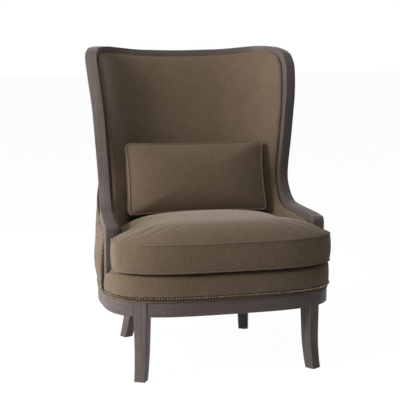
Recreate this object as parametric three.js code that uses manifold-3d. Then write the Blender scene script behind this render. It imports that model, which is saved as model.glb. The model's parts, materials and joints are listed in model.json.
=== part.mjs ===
// Fireside chair: a barrel wing chair with a show-wood rim, base rail and sabre legs,
// an upholstered shell, a loose T-shaped seat cushion and a loose lumbar pillow.
// Millimetres, +Z up, the front faces -Y.
import * as THREE from "three";
import { mergeVertices } from "three/addons/utils/BufferGeometryUtils.js";
import Module from "manifold-3d";

const wasm = await Module();
wasm.setup();

// Fits
const GAP = 0.3; // between pieces that touch
const CUT_OVERRUN = 60; // how far a cutting solid passes what it cuts

// Base plan, at the show rail's outer face
const BASE_HALF_WIDTH = 402;
const BASE_CENTRE_Y = -100; // widest place of the base
const BASE_FRONT_DEPTH = 252;
const BASE_REAR_DEPTH = 395;
const BASE_FRONT_POWER_SHARE = 3.3;
const BASE_REAR_POWER_SHARE = 2.5;

// Show rail
const RAIL_BOTTOM = 224;
const RAIL_HEIGHT = 50;
const RAIL_THICKNESS = 54;
const RAIL_CHAMFER = 3;
const RAIL_TOP = RAIL_BOTTOM + RAIL_HEIGHT;

// Front legs, square in section, turned outwards to follow the bow of the base
const FRONT_LEG_CORNER = THREE.MathUtils.degToRad(-47.668); // on a round plan, stretched to the base
const FRONT_LEG_DIRECTION = cornerDirection(FRONT_LEG_CORNER, BASE_FRONT_DEPTH);
const FRONT_LEG_RECESS = 0.84; // of the leg's front face behind the base plan
const FRONT_LEG_TURN = THREE.MathUtils.degToRad(31);
const FRONT_LEG_TOP_SIZE = 48;
const FRONT_LEG_FOOT_SIZE = 38.5;
const FRONT_LEG_KICK = 14;
const FRONT_KICK_START = 130;

// Rear legs, raked back and out as sabres
const REAR_LEG_CORNER = THREE.MathUtils.degToRad(57.499);
const REAR_LEG_DIRECTION = cornerDirection(REAR_LEG_CORNER, BASE_REAR_DEPTH);
const REAR_LEG_INSET = 23.1; // of the leg's middle from the base plan
const REAR_LEG_TURN = THREE.MathUtils.degToRad(24);
const REAR_LEG_TOP_SIZE = 45;
const REAR_LEG_FOOT_SIZE = 36;
const REAR_SWEEP_X = 19.9; // how far the foot stands out from the top
const REAR_SWEEP_Y = 51.1;
const REAR_SWEEP_POWER_SHARE = 1.8;

// Foot glides
const GLIDE_RADIUS = 11;
const GLIDE_HEIGHT = 3;

// Corner blocks inside the rails
const BLOCK_HEIGHT = 36;
const BLOCK_DEPTH = 42;
const BLOCK_LENGTH = 96;

// Double welt between the rail and the fabric
const WELT_SIZE = 9;

// Seat frame, springs and deck
const FRAME_INSET = 46;
const FRAME_THICKNESS = 26;
const FRAME_HEIGHT = 62;
const SPRING_COUNT = 5;
const SPRING_PITCH = 96;
const SPRING_WIRE = 4;
const SPRING_SWING = 22;
const SPRING_TURN_LENGTH = 52;
const CLIP_WIDTH = 14;
const CLIP_LENGTH = 20;
const CLIP_THICKNESS = 2;
const SPRING_ROOM = 14; // from the frame's top to the deck's underside
const DECK_THICKNESS = 16;
const DECK_TOP = RAIL_TOP + FRAME_HEIGHT + SPRING_ROOM + DECK_THICKNESS;
const BAND_PROUD = 9;
const BAND_THICKNESS = 22;
const BAND_ROUND = 12;
const COVER_THICKNESS = 1.5;

// Show-wood rim round the arms, wings and crest
const RIM_HALF_WIDTH = BASE_HALF_WIDTH; // the wings stand over the base's widest place
const RIM_FRONT_Y = -168; // front face of the arm post
const RIM_DEPTH = 596; // from the arm post to the back of the crest
const RIM_HEIGHT = 844; // from the rail to the highest point of the crest
const RIM_FACE = 43;
const RIM_THICKNESS = 40;
const RIM_CHAMFER = 2.5;
const POST_INSET = 6; // of the post's outer side from the rim's half width
const POST_OUTER_X = RIM_HALF_WIDTH - POST_INSET;
const ARM_START_SHARE = 0.288; // of the rim's height, at the top of the post
const POST_TOP = RAIL_TOP + ARM_START_SHARE * RIM_HEIGHT;
const KNEE_RADIUS = 19;
const ARM_RISE = 3; // of the arm's top over the depth of the post
// Places of the joints, counted in points of the rim's outline
const WAIST_PLACE_SHARE = 5;
const SHOULDER_PLACE_SHARE = 14.5;
const TRIM_PLACE_SHARE = 1.5; // where the arm's line takes over from the post's
const PLACE_STEPS = 4; // readings of the rim's line for each of its points

// Outer edge of the rim from the arm to the middle of the crest: shares of the half
// width, the depth and the height of the rim, and of a quarter turn for its face.
const RIM_SHARES = [
  [0.982, 0.067, ARM_START_SHARE, 0.045],
  [0.975, 0.116, 0.293, 0.05],
  [0.94, 0.356, 0.309, 0.07],
  [0.926, 0.42, 0.325, 0.12],
  [0.92, 0.466, 0.355, 0.17],
  [0.915, 0.503, 0.404, 0.2],
  [0.92, 0.512, 0.467, 0.2],
  [0.942, 0.503, 0.594, 0.2],
  [0.963, 0.5, 0.72, 0.2],
  [0.977, 0.508, 0.784, 0.2],
  [0.99, 0.53, 0.848, 0.2],
  [0.999, 0.561, 0.911, 0.2],
  [0.998, 0.596, 0.943, 0.2],
  [0.989, 0.631, 0.967, 0.21],
  [0.963, 0.685, 0.984, 0.28],
  [0.915, 0.768, 0.996, 0.4],
  [0.799, 0.864, 1.0, 0.6],
  [0.657, 0.923, 0.995, 0.73],
  [0.455, 0.968, 0.986, 0.86],
  [0.236, 0.993, 0.982, 0.94],
  [0, 1, 0.98, 1],
];

// Upholstered wall: its outer face in plan at three heights
const WALL_FRONT_Y = RIM_FRONT_Y + RIM_THICKNESS;
const WALL_CENTRE_Y = 130;
const WAIST_POWER_SHARE = 2.1; // rounder than the crest, so that it hides behind the wings
const CREST_POWER_SHARE = 2.6;
const WAIST_RISE_SHARE = 0.3566; // of the rim's height
const WAIST_Z = RAIL_TOP + WAIST_RISE_SHARE * RIM_HEIGHT;
const WAIST_DRAW_IN = 35; // of the waist inside the base, at each side
const WAIST_HALF_WIDTH = BASE_HALF_WIDTH - WAIST_DRAW_IN;
const WAIST_LEAN = 48; // of the waist behind the base
const WAIST_REAR_Y = BASE_CENTRE_Y + BASE_REAR_DEPTH + WAIST_LEAN;
const WAIST_FRONT_FLARE = 24; // how much wider the wall is at its front edge
const CREST_DROP = 17; // of the crest's plan below the rim's highest point
const CREST_Z = RAIL_TOP + RIM_HEIGHT - CREST_DROP;
const CREST_SIDE_SETBACK = 2;
const CREST_HALF_WIDTH = RIM_HALF_WIDTH - CREST_SIDE_SETBACK;
const CREST_REAR_SETBACK = 1;
const CREST_REAR_Y = RIM_FRONT_Y + RIM_DEPTH - CREST_REAR_SETBACK;
const CREST_FRONT_FLARE = 4;
const WALL_BOTTOM = RAIL_TOP + WELT_SIZE + 2 * GAP;
const OUTSIDE_THICKNESS = 7;
const OUTSIDE_BULGE = 18;
const SWELL_POWER_SHARE = 0.7; // at the arm: a full, round swell
const SWELL_REAR_POWER_SHARE = 1.7; // at the back: a soft one
const SWELL_EDGE_SHARE = 0.09; // along the wall, over which the swell rises from the post
const BACK_FLATTENING_SHARE = 0.6; // of the bulge, from the post to the middle of the back
const OUTSIDE_TUCK = 3; // the panel's edge lies inside the rim's outer face
const SEAM_SHARE = 0.6; // along the wall, where the side panels meet the back panel

// Inside of the wall: the padded barrel, in plan at the seat and at the crest
const INSIDE_TUCK = 20; // of the lining below the deck's top
const INSIDE_BOTTOM = DECK_TOP - INSIDE_TUCK;
const SEAT_RISE = 114; // of the fullest padding above the deck's top
const SEAT_LEVEL = DECK_TOP + SEAT_RISE;
const ARM_DEPTH = 84; // of a padded arm at the seat, with its frame
const INSIDE_SEAT_HALF_WIDTH = BASE_HALF_WIDTH - ARM_DEPTH;
const INSIDE_SEAT_CENTRE_Y = -20;
const BACK_DEPTH = 109; // of the padded back at the seat, with its frame
const INSIDE_SEAT_REAR_Y = BASE_CENTRE_Y + BASE_REAR_DEPTH - BACK_DEPTH;
const INSIDE_SEAT_FLARE = 26;
const INSIDE_POWER_SHARE = 2.5;
const FABRIC_SETBACK = 26; // of the inside fabric's edge behind the face of the rim
const EDGE_PADDING = 7;
const CREST_PADDING = 22;
const PADDING_ROLL = 70; // width over which the padding rises from its edge
const PADDING_POWER_SHARE = 0.9;
// Heights of the lining's rings, closest where the arm rises and at the crest
const LINING_ROW_SHARES = [0, 0.07, 0.14, 0.207, 0.231, 0.258, 0.286, 0.314, 0.341, 0.395];
const LINING_UPPER_ROW_SHARES = [0.491, 0.588, 0.684, 0.781, 0.877, 0.917, 0.937, 0.958, 0.979, 1];

// Hidden timber of the wall
const UPRIGHT_WIDTH = 46;
const UPRIGHT_DEPTH = 26;
const UPRIGHT_X = 150;
const UPRIGHT_PLACE_SHARE = 0.82; // along the wall, where its front face is read
const UPRIGHT_DROP = 78; // of its top below the rim's highest point
const UPRIGHT_TOP = RAIL_TOP + RIM_HEIGHT - UPRIGHT_DROP;
const STRETCHER_HEIGHT = 45;
const STRETCHER_RISE = 34; // of the lower stretcher above the deck's top
const STRETCHER_LOW_Z = DECK_TOP + STRETCHER_RISE;
const STRETCHER_DROP = 280; // of the upper stretcher below the uprights' top
const STRETCHER_HIGH_Z = UPRIGHT_TOP - STRETCHER_DROP;

// Seat cushion
const CUSHION_FRONT_PROUD = 14;
const CUSHION_BELLY = 11;
const CUSHION_BOXING = 94;
const CUSHION_WELT_LOW = DECK_TOP + CUSHION_BELLY + GAP;
const CUSHION_WELT_HIGH = CUSHION_WELT_LOW + CUSHION_BOXING;
const CUSHION_CROWN = 54;
const CUSHION_CLEARANCE = 6;
const CUSHION_EAR_PROUD = 1; // of the ears past the posts
const CUSHION_EAR_HALF_WIDTH = POST_OUTER_X + CUSHION_EAR_PROUD;
const CUSHION_EAR_BACK = RIM_FRONT_Y - CUSHION_CLEARANCE;
const CUSHION_EAR_ROUND = 16;
const CROWN_FORWARD = 90; // of the crown's highest place from the base's centre
const CUSHION_CENTRE_Y = BASE_CENTRE_Y - CROWN_FORWARD;
const BOXING_BULGE = 4;
const CROWN_POWER_SHARE = 5;

// Lumbar pillow
const PILLOW_WIDTH = 526;
const PILLOW_HEIGHT = 264;
const PILLOW_BOXING = 40;
const PILLOW_CROWN = 36;
const PILLOW_RAKE = THREE.MathUtils.degToRad(14.8);
const PILLOW_CORNER_POWER_SHARE = 9;
const PILLOW_PINCH = 7; // how far its sides are drawn in
const PILLOW_START_SETBACK = 66; // from the padded back, before it is set down and back
const PILLOW_START_LIFT = 12;

// Finishes
const WOOD = { color: 0x6a625e, roughness: 0.5, metalness: 0 };
const TIMBER = { color: 0xb79a72, roughness: 0.8, metalness: 0 };
const FABRIC = { color: 0x7a6a58, roughness: 0.95, metalness: 0 };
const FABRIC_LIGHT = { color: 0x93836f, roughness: 0.95, metalness: 0 };
const STEEL = { color: 0x8a8c8e, roughness: 0.4, metalness: 1 };
const GIMP = { color: 0x4f4338, roughness: 0.9, metalness: 0 };
const COVER = { color: 0x1e1c1b, roughness: 1, metalness: 0 };
const GLIDE = { color: 0x3a3836, roughness: 0.6, metalness: 0 };

const chair = new THREE.Group();
const solids = new Map();

// Joins rings of equal, even length to one closed body. The end rings are closed by
// strips between each point and its partner counted from the ring's other end.
function loft(rings) {
  const size = rings[0].length;
  const triangles = [];
  const quad = (a, b, c, d) => triangles.push(a, b, c, a, c, d);
  for (let i = 0; i < rings.length - 1; i++) {
    const here = rings[i];
    const next = rings[i + 1];
    for (let j = 0; j < size; j++) {
      const k = (j + 1) % size;
      quad(here[j], here[k], next[k], next[j]);
    }
  }
  const first = rings[0];
  const last = rings[rings.length - 1];
  for (let j = 0; j < size / 2 - 1; j++) {
    const other = size - 1 - j;
    quad(first[j + 1], first[j], first[other], first[other - 1]);
    quad(last[j], last[j + 1], last[other - 1], last[other]);
  }
  return orient(new THREE.BufferGeometry().setFromPoints(triangles));
}

// Turns a closed geometry's faces outwards.
function orient(geometry) {
  const at = geometry.getAttribute("position");
  const [a, b, c] = [new THREE.Vector3(), new THREE.Vector3(), new THREE.Vector3()];
  let volume = 0;
  for (let i = 0; i < at.count; i += 3) {
    a.fromBufferAttribute(at, i);
    b.fromBufferAttribute(at, i + 1);
    c.fromBufferAttribute(at, i + 2);
    volume += a.dot(b.cross(c));
  }
  if (volume < 0) {
    for (let i = 0; i < at.count; i += 3) {
      b.fromBufferAttribute(at, i + 1);
      c.fromBufferAttribute(at, i + 2);
      at.setXYZ(i + 1, c.x, c.y, c.z);
      at.setXYZ(i + 2, b.x, b.y, b.z);
    }
  }
  return geometry;
}

function toSolid(geometry) {
  const plain = new THREE.BufferGeometry();
  const source = geometry.index ? geometry.toNonIndexed() : geometry;
  plain.setAttribute("position", source.getAttribute("position").clone());
  const merged = mergeVertices(plain, 1e-4);
  return new wasm.Manifold(
    new wasm.Mesh({
      numProp: 3,
      vertProperties: new Float32Array(merged.getAttribute("position").array),
      triVerts: new Uint32Array(merged.index.array),
    }),
  );
}

function toGeometry(solid) {
  const mesh = solid.getMesh();
  const geometry = new THREE.BufferGeometry();
  geometry.setAttribute("position", new THREE.BufferAttribute(mesh.vertProperties, 3));
  geometry.setIndex(new THREE.BufferAttribute(mesh.triVerts, 1));
  return geometry;
}

// The largest body of a cut solid, without the slivers a cut can leave.
function mainBody(solid) {
  const bodies = solid.decompose();
  return bodies.reduce((best, body) => (body.volume() > best.volume() ? body : best));
}

function mirrored(solid) {
  return solid.mirror([1, 0, 0]);
}

function addPiece(name, solid, finish) {
  const geometry = toGeometry(solid);
  geometry.computeVertexNormals();
  const mesh = new THREE.Mesh(geometry, new THREE.MeshStandardMaterial(finish));
  mesh.name = name;
  chair.add(mesh);
  solids.set(name, solid);
}

function addPair(name, solid, finish) {
  addPiece(name + "_right", solid, finish);
  addPiece(name + "_left", mirrored(solid), finish);
}

// A box between two corners.
function block(low, high) {
  const size = new THREE.Vector3().subVectors(high, low);
  const geometry = new THREE.BoxGeometry(size.x, size.y, size.z);
  geometry.translate(...new THREE.Vector3().addVectors(low, high).multiplyScalar(0.5));
  return toSolid(geometry);
}

// A point on the base plan in a polar direction, moved out along the plan's normal.
function basePoint(angle, outset, z) {
  const rear = Math.sin(angle) > 0;
  const depth = rear ? BASE_REAR_DEPTH : BASE_FRONT_DEPTH;
  const power = rear ? BASE_REAR_POWER_SHARE : BASE_FRONT_POWER_SHARE;
  const [c, s] = [Math.cos(angle), Math.sin(angle)];
  const across = Math.abs(c) / BASE_HALF_WIDTH;
  const along = Math.abs(s) / depth;
  const radius = (across ** power + along ** power) ** (-1 / power);
  const normal = new THREE.Vector3(
    (Math.sign(c) * (across * radius) ** (power - 1)) / BASE_HALF_WIDTH,
    (Math.sign(s) * (along * radius) ** (power - 1)) / depth,
    0,
  ).normalize();
  return new THREE.Vector3(radius * c, BASE_CENTRE_Y + radius * s, z).addScaledVector(normal, outset);
}

// A member that follows the base plan between two directions, with a section given
// as pairs of outset and height.
function baseSweep(from, to, steps, section) {
  const rings = [];
  for (let i = 0; i <= steps; i++) {
    const angle = THREE.MathUtils.lerp(from, to, i / steps);
    rings.push(section.map(([outset, z]) => basePoint(angle, outset, z)));
  }
  return toSolid(loft(rings));
}

// Direction of a corner that keeps its place when the base is made wider or deeper.
function cornerDirection(corner, depth) {
  return Math.atan2(depth * Math.sin(corner), BASE_HALF_WIDTH * Math.cos(corner));
}

function directionOf(x, y) {
  return Math.atan2(y - BASE_CENTRE_Y, x);
}

// Legs

// A square ring with chamfered arrises, in the counting order the loft needs.
function squareRing(centre, size, turn, chamfer) {
  const half = size / 2;
  const inner = half - chamfer;
  const corners = [
    [half, -inner],
    [half, inner],
    [inner, half],
    [-inner, half],
    [-half, inner],
    [-half, -inner],
    [-inner, -half],
    [inner, -half],
  ];
  return corners.map(([across, along]) => {
    const offset = new THREE.Vector3(across, along, 0).applyAxisAngle(new THREE.Vector3(0, 0, 1), turn);
    return offset.add(centre);
  });
}

function frontLegSize(z) {
  const drop = Math.max(0, 1 - z / RAIL_BOTTOM);
  return THREE.MathUtils.lerp(FRONT_LEG_TOP_SIZE, FRONT_LEG_FOOT_SIZE, drop);
}

// Middle of a front leg at a height: its face lies on the base plan and kicks out at the foot.
function frontLegCentre(z) {
  const outward = new THREE.Vector3(Math.sin(FRONT_LEG_TURN), -Math.cos(FRONT_LEG_TURN), 0);
  const fall = Math.max(0, 1 - z / FRONT_KICK_START);
  const centre = basePoint(FRONT_LEG_DIRECTION, -FRONT_LEG_RECESS, z);
  return centre.addScaledVector(outward, FRONT_LEG_KICK * fall * fall - frontLegSize(z) / 2);
}

// Middle of a rear leg at a height: it sweeps out and back towards the foot.
function rearLegCentre(z) {
  const sweep = Math.max(0, 1 - z / RAIL_BOTTOM) ** REAR_SWEEP_POWER_SHARE;
  const centre = basePoint(REAR_LEG_DIRECTION, -REAR_LEG_INSET, z);
  return centre.add(new THREE.Vector3(REAR_SWEEP_X * sweep, REAR_SWEEP_Y * sweep, 0));
}

function frontLeg(grow) {
  const heights = [...levels(GLIDE_HEIGHT, FRONT_KICK_START, 4), RAIL_BOTTOM, RAIL_TOP];
  const rings = heights.map((z) =>
    squareRing(frontLegCentre(z), frontLegSize(z) + 2 * grow, FRONT_LEG_TURN, RIM_CHAMFER / 2),
  );
  return toSolid(loft(rings));
}

function rearLeg(grow) {
  const heights = [...levels(GLIDE_HEIGHT, RAIL_BOTTOM, 6), RAIL_TOP];
  const rings = heights.map((z) => {
    const drop = Math.max(0, 1 - z / RAIL_BOTTOM);
    const size = THREE.MathUtils.lerp(REAR_LEG_TOP_SIZE, REAR_LEG_FOOT_SIZE, drop);
    return squareRing(rearLegCentre(z), size + 2 * grow, -REAR_LEG_TURN, RIM_CHAMFER / 2);
  });
  return toSolid(loft(rings));
}

function glide(foot) {
  const disc = new THREE.CylinderGeometry(GLIDE_RADIUS, GLIDE_RADIUS, GLIDE_HEIGHT - GAP, 20);
  disc.rotateX(Math.PI / 2);
  disc.translate(foot.x, foot.y, (GLIDE_HEIGHT - GAP) / 2);
  return toSolid(disc);
}

function addLegs() {
  addPair("front_leg", frontLeg(0), WOOD);
  addPair("rear_leg", rearLeg(0), WOOD);
  addPair("front_glide", glide(frontLegCentre(0)), GLIDE);
  addPair("rear_glide", glide(rearLegCentre(0)), GLIDE);
}

// Show rail

function railSection() {
  const inner = -RAIL_THICKNESS;
  return [
    [0, RAIL_TOP - RAIL_CHAMFER],
    [0, RAIL_BOTTOM + RAIL_CHAMFER],
    [-RAIL_CHAMFER, RAIL_BOTTOM],
    [inner, RAIL_BOTTOM],
    [inner, RAIL_TOP],
    [-RAIL_CHAMFER, RAIL_TOP],
  ];
}

// Each rail ends inside a leg's block and is cut to fit it.
function addRails() {
  const front = FRONT_LEG_DIRECTION;
  const rear = REAR_LEG_DIRECTION;
  const slack = GAP / BASE_HALF_WIDTH;
  const legs = [frontLeg(GAP), rearLeg(GAP)];
  const cutters = [...legs, ...legs.map(mirrored)];
  const fitted = (solid) => mainBody(cutters.reduce((rest, leg) => rest.subtract(leg), solid));
  const section = railSection();
  addPiece("front_rail", fitted(baseSweep(-Math.PI - front + slack, front - slack, 28, section)), WOOD);
  addPair("side_rail", fitted(baseSweep(front + slack, rear - slack, 22, section)), WOOD);
  addPiece("back_rail", fitted(baseSweep(rear + slack, Math.PI - rear - slack, 16, section)), WOOD);
}

// A triangular block glued across the inside of each corner.
function cornerBlock(x, y, turn) {
  const outline = new THREE.Shape();
  outline.moveTo(-BLOCK_LENGTH / 2, 0);
  outline.lineTo(BLOCK_LENGTH / 2, 0);
  outline.lineTo(BLOCK_LENGTH / 2 - BLOCK_DEPTH, -BLOCK_DEPTH);
  outline.lineTo(-BLOCK_LENGTH / 2 + BLOCK_DEPTH, -BLOCK_DEPTH);
  outline.closePath();
  const geometry = new THREE.ExtrudeGeometry(outline, { depth: BLOCK_HEIGHT, bevelEnabled: false });
  geometry.rotateZ(turn);
  geometry.translate(x, y, RAIL_TOP - BLOCK_HEIGHT);
  return toSolid(geometry);
}

function addCornerBlocks() {
  const rails = ["front_rail", "side_rail_right", "back_rail", "front_leg_right", "rear_leg_right"];
  const shave = (solid) =>
    mainBody(rails.reduce((rest, name) => rest.subtract(grownForFit(solids.get(name))), solid));
  const place = (angle) => {
    const seat = basePoint(angle, -RAIL_THICKNESS, 0);
    const facing = basePoint(angle, 0, 0).sub(seat);
    return shave(cornerBlock(seat.x, seat.y, Math.atan2(facing.y, facing.x) - Math.PI / 2));
  };
  addPair("front_corner_block", place(FRONT_LEG_DIRECTION), TIMBER);
  addPair("rear_corner_block", place(REAR_LEG_DIRECTION), TIMBER);
}

// A solid together with copies moved by the fit gap to each side, so that what is cut
// by it keeps that gap.
function grownForFit(solid) {
  const moves = [
    [GAP, 0, 0],
    [-GAP, 0, 0],
    [0, GAP, 0],
    [0, -GAP, 0],
    [0, 0, GAP],
    [0, 0, -GAP],
  ];
  return moves.reduce((sum, move) => sum.add(solid.translate(move)), solid);
}

// Rim

// The outline's rows from the right arm over the crest to the left arm.
const rimRows = [
  ...RIM_SHARES,
  ...RIM_SHARES.slice(0, -1)
    .reverse()
    .map(([x, y, z, turn]) => [-x, y, z, 2 - turn]),
];
const RIM_SPANS = rimRows.length - 1;
const rimCurve = smoothLine(
  rimRows.map(
    ([x, y, z]) =>
      new THREE.Vector3(x * RIM_HALF_WIDTH, RIM_FRONT_Y + y * RIM_DEPTH, RAIL_TOP + z * RIM_HEIGHT),
  ),
);
const rimTurn = smoothLine(rimRows.map(([, , , turn]) => new THREE.Vector3(turn, 0, 0)));

function smoothLine(points) {
  return new THREE.CatmullRomCurve3(points, false, "catmullrom", 0.5);
}

// Position and directions of the rim at a place counted in points of its outline.
function rimStation(place) {
  const share = place / RIM_SPANS;
  const origin = rimCurve.getPoint(share);
  const tangent = rimCurve.getTangent(share);
  const turn = (rimTurn.getPoint(share).x * Math.PI) / 2;
  const outward = new THREE.Vector3(Math.cos(turn), Math.sin(turn), 0);
  outward.addScaledVector(tangent, -outward.dot(tangent)).normalize();
  const deep = new THREE.Vector3().crossVectors(tangent, outward).normalize();
  return { origin, tangent, outward, deep };
}

// The rim's section at a station: a rectangle with eased arrises.
function rimRing(station, grow) {
  const low = -grow;
  const wide = RIM_FACE + grow;
  const thick = RIM_THICKNESS + grow;
  const ease = RIM_CHAMFER;
  const corners = [
    [low, low + ease],
    [low + ease, low],
    [wide - ease, low],
    [wide, low + ease],
    [wide, thick - ease],
    [wide - ease, thick],
    [low + ease, thick],
    [low, thick - ease],
  ];
  return corners.map(([across, deep]) =>
    station.origin.clone().addScaledVector(station.outward, -across).addScaledVector(station.deep, deep),
  );
}

function rimPiece(from, to, steps, grow = 0) {
  const rings = [];
  for (let i = 0; i <= steps; i++) {
    const station = rimStation(THREE.MathUtils.lerp(from, to, i / steps));
    rings.push(rimRing(station, grow));
  }
  return toSolid(loft(rings));
}

// The arm post: its side outline has a rounded knee that runs into the arm.
function armPost(grow) {
  const back = WALL_FRONT_Y;
  const outline = new THREE.Shape();
  outline.moveTo(RIM_FRONT_Y - grow, RAIL_TOP + GAP - grow);
  outline.lineTo(RIM_FRONT_Y - grow, POST_TOP - KNEE_RADIUS);
  outline.absarc(
    RIM_FRONT_Y + KNEE_RADIUS,
    POST_TOP - KNEE_RADIUS,
    KNEE_RADIUS + grow,
    Math.PI,
    Math.PI / 2 + ARM_RISE / RIM_THICKNESS,
    true,
  );
  outline.lineTo(back + grow, POST_TOP + ARM_RISE / 2 + grow);
  outline.lineTo(back + grow, RAIL_TOP + GAP - grow);
  outline.closePath();
  const geometry = new THREE.ExtrudeGeometry(outline, {
    depth: RIM_FACE - 2 * RIM_CHAMFER + 2 * grow,
    bevelThickness: RIM_CHAMFER,
    bevelSize: RIM_CHAMFER,
    bevelOffset: -RIM_CHAMFER,
    bevelSegments: 1,
    curveSegments: 6,
  });
  // The outline's axes are the chair's Y and Z, and the extrusion runs along X.
  geometry.applyMatrix4(new THREE.Matrix4().set(0, 0, 1, 0, 1, 0, 0, 0, 0, 1, 0, 0, 0, 0, 0, 1));
  geometry.translate(POST_OUTER_X - RIM_FACE + RIM_CHAMFER - grow, 0, 0);
  return toSolid(geometry);
}

const JOINT_SLACK_SHARE = GAP / RIM_THICKNESS;

function armRim(grow = 0) {
  return rimPiece(0, WAIST_PLACE_SHARE - JOINT_SLACK_SHARE, 18, grow);
}

function wingRim(grow = 0) {
  return rimPiece(WAIST_PLACE_SHARE + JOINT_SLACK_SHARE, SHOULDER_PLACE_SHARE - JOINT_SLACK_SHARE, 26, grow);
}

function crestRim(grow = 0) {
  const from = SHOULDER_PLACE_SHARE + JOINT_SLACK_SHARE;
  return rimPiece(from, RIM_SPANS - from, 40, grow);
}

function addRim() {
  addPair("arm_post", armPost(0), WOOD);
  addPair("arm", mainBody(armRim().subtract(grownForFit(armPost(0)))), WOOD);
  addPair("wing", wingRim(), WOOD);
  addPiece("crest_rail", crestRim(), WOOD);
}

// The whole rim, larger all round by the fit gap, as a cutter for what lies against it.
function rimCutter() {
  const half = [armPost(GAP), armRim(GAP), wingRim(GAP)];
  return [...half, ...half.map(mirrored)].reduce((sum, piece) => sum.add(piece), crestRim(GAP));
}

// Everything in front of and above the line that lies a setback behind the rim's face.
function frontTrim(setback) {
  const far = BASE_HALF_WIDTH + CUT_OVERRUN;
  const above = RAIL_TOP + RIM_HEIGHT + CUT_OVERRUN;
  const outline = [new THREE.Vector2(RIM_FRONT_Y + setback, RAIL_BOTTOM)];
  outline.push(new THREE.Vector2(RIM_FRONT_Y + setback, POST_TOP - setback));
  for (let i = PLACE_STEPS * TRIM_PLACE_SHARE; i <= (PLACE_STEPS * RIM_SPANS) / 2; i++) {
    const station = rimStation(i / PLACE_STEPS);
    const point = station.origin.addScaledVector(station.deep, setback);
    const before = outline[outline.length - 1];
    if (point.y > before.x + GAP || point.z > before.y) outline.push(new THREE.Vector2(point.y, point.z));
  }
  const last = outline[outline.length - 1];
  outline.push(new THREE.Vector2(last.x + CUT_OVERRUN, last.y));
  outline.push(new THREE.Vector2(last.x + CUT_OVERRUN, above));
  outline.push(new THREE.Vector2(RIM_FRONT_Y - CUT_OVERRUN, above));
  outline.push(new THREE.Vector2(RIM_FRONT_Y - CUT_OVERRUN, RAIL_BOTTOM));
  const geometry = new THREE.ExtrudeGeometry(new THREE.Shape(outline), { depth: 2 * far, bevelEnabled: false });
  geometry.applyMatrix4(new THREE.Matrix4().set(0, 0, 1, 0, 1, 0, 0, 0, 0, 1, 0, 0, 0, 0, 0, 1));
  geometry.translate(-far, 0, 0);
  return toSolid(geometry);
}

// Wall

// Half of a wall's plan from its front edge to the middle of the back, as a line of
// points equally spaced by length.
function planLine(halfWidth, centreY, rearY, frontY, flare, power) {
  const points = [];
  const straight = 12;
  for (let i = 0; i < straight; i++) {
    const share = i / straight;
    points.push(
      new THREE.Vector3(halfWidth + flare * (1 - share), THREE.MathUtils.lerp(frontY, centreY, share), 0),
    );
  }
  const quarter = 60;
  for (let i = 0; i <= quarter; i++) {
    const angle = ((Math.PI / 2) * i) / quarter;
    const across = Math.cos(angle);
    const along = Math.sin(angle);
    const radius = (across ** power + along ** power) ** (-1 / power);
    points.push(
      new THREE.Vector3(halfWidth * radius * across, centreY + (rearY - centreY) * radius * along, 0),
    );
  }
  return evenly(points);
}

function baseLine() {
  const points = [];
  const start = directionOf(BASE_HALF_WIDTH, WALL_FRONT_Y);
  const steps = 72;
  for (let i = 0; i <= steps; i++) {
    points.push(basePoint(THREE.MathUtils.lerp(start, Math.PI / 2, i / steps), 0, 0));
  }
  return evenly(points);
}

// Reads a line of points by the share of its length.
function evenly(points) {
  const lengths = [0];
  for (let i = 1; i < points.length; i++) lengths.push(lengths[i - 1] + points[i].distanceTo(points[i - 1]));
  const total = lengths[lengths.length - 1];
  return (share) => {
    const wanted = THREE.MathUtils.clamp(share, 0, 1) * total;
    let i = 1;
    while (i < points.length - 1 && lengths[i] < wanted) i++;
    const inside = (wanted - lengths[i - 1]) / (lengths[i] - lengths[i - 1]);
    return new THREE.Vector3().lerpVectors(points[i - 1], points[i], inside);
  };
}

const baseWall = baseLine();
const waistWall = planLine(
  WAIST_HALF_WIDTH,
  WALL_CENTRE_Y,
  WAIST_REAR_Y,
  WALL_FRONT_Y,
  WAIST_FRONT_FLARE,
  WAIST_POWER_SHARE,
);
const crestWall = planLine(
  CREST_HALF_WIDTH,
  WALL_CENTRE_Y,
  CREST_REAR_Y,
  WALL_FRONT_Y,
  CREST_FRONT_FLARE,
  CREST_POWER_SHARE,
);
const seatInside = planLine(
  INSIDE_SEAT_HALF_WIDTH,
  INSIDE_SEAT_CENTRE_Y,
  INSIDE_SEAT_REAR_Y,
  WALL_FRONT_Y,
  INSIDE_SEAT_FLARE,
  INSIDE_POWER_SHARE,
);

// A point of the wall's outer reference face, by share along it and height.
function wallPoint(share, z) {
  if (z >= WAIST_Z) {
    const rise = (z - WAIST_Z) / (CREST_Z - WAIST_Z);
    return waistWall(share).lerp(crestWall(share), rise).setZ(z);
  }
  const rise = (z - RAIL_TOP) / (WAIST_Z - RAIL_TOP);
  const eased = THREE.MathUtils.smoothstep(z, RAIL_TOP, WAIST_Z);
  return baseWall(share).lerp(waistWall(share), (rise + eased) / 2).setZ(z);
}

// The wall's outward direction in plan.
function wallNormal(share, z) {
  const step = 0.01;
  const ahead = wallPoint(Math.min(1, share + step), z);
  const along = ahead.sub(wallPoint(Math.max(0, share - step), z));
  if (share > 1 - step) return new THREE.Vector3(0, 1, 0);
  return new THREE.Vector3(along.y, -along.x, 0).normalize();
}

function wallOffset(share, z, outset) {
  return wallPoint(share, z).addScaledVector(wallNormal(share, z), outset);
}

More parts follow.
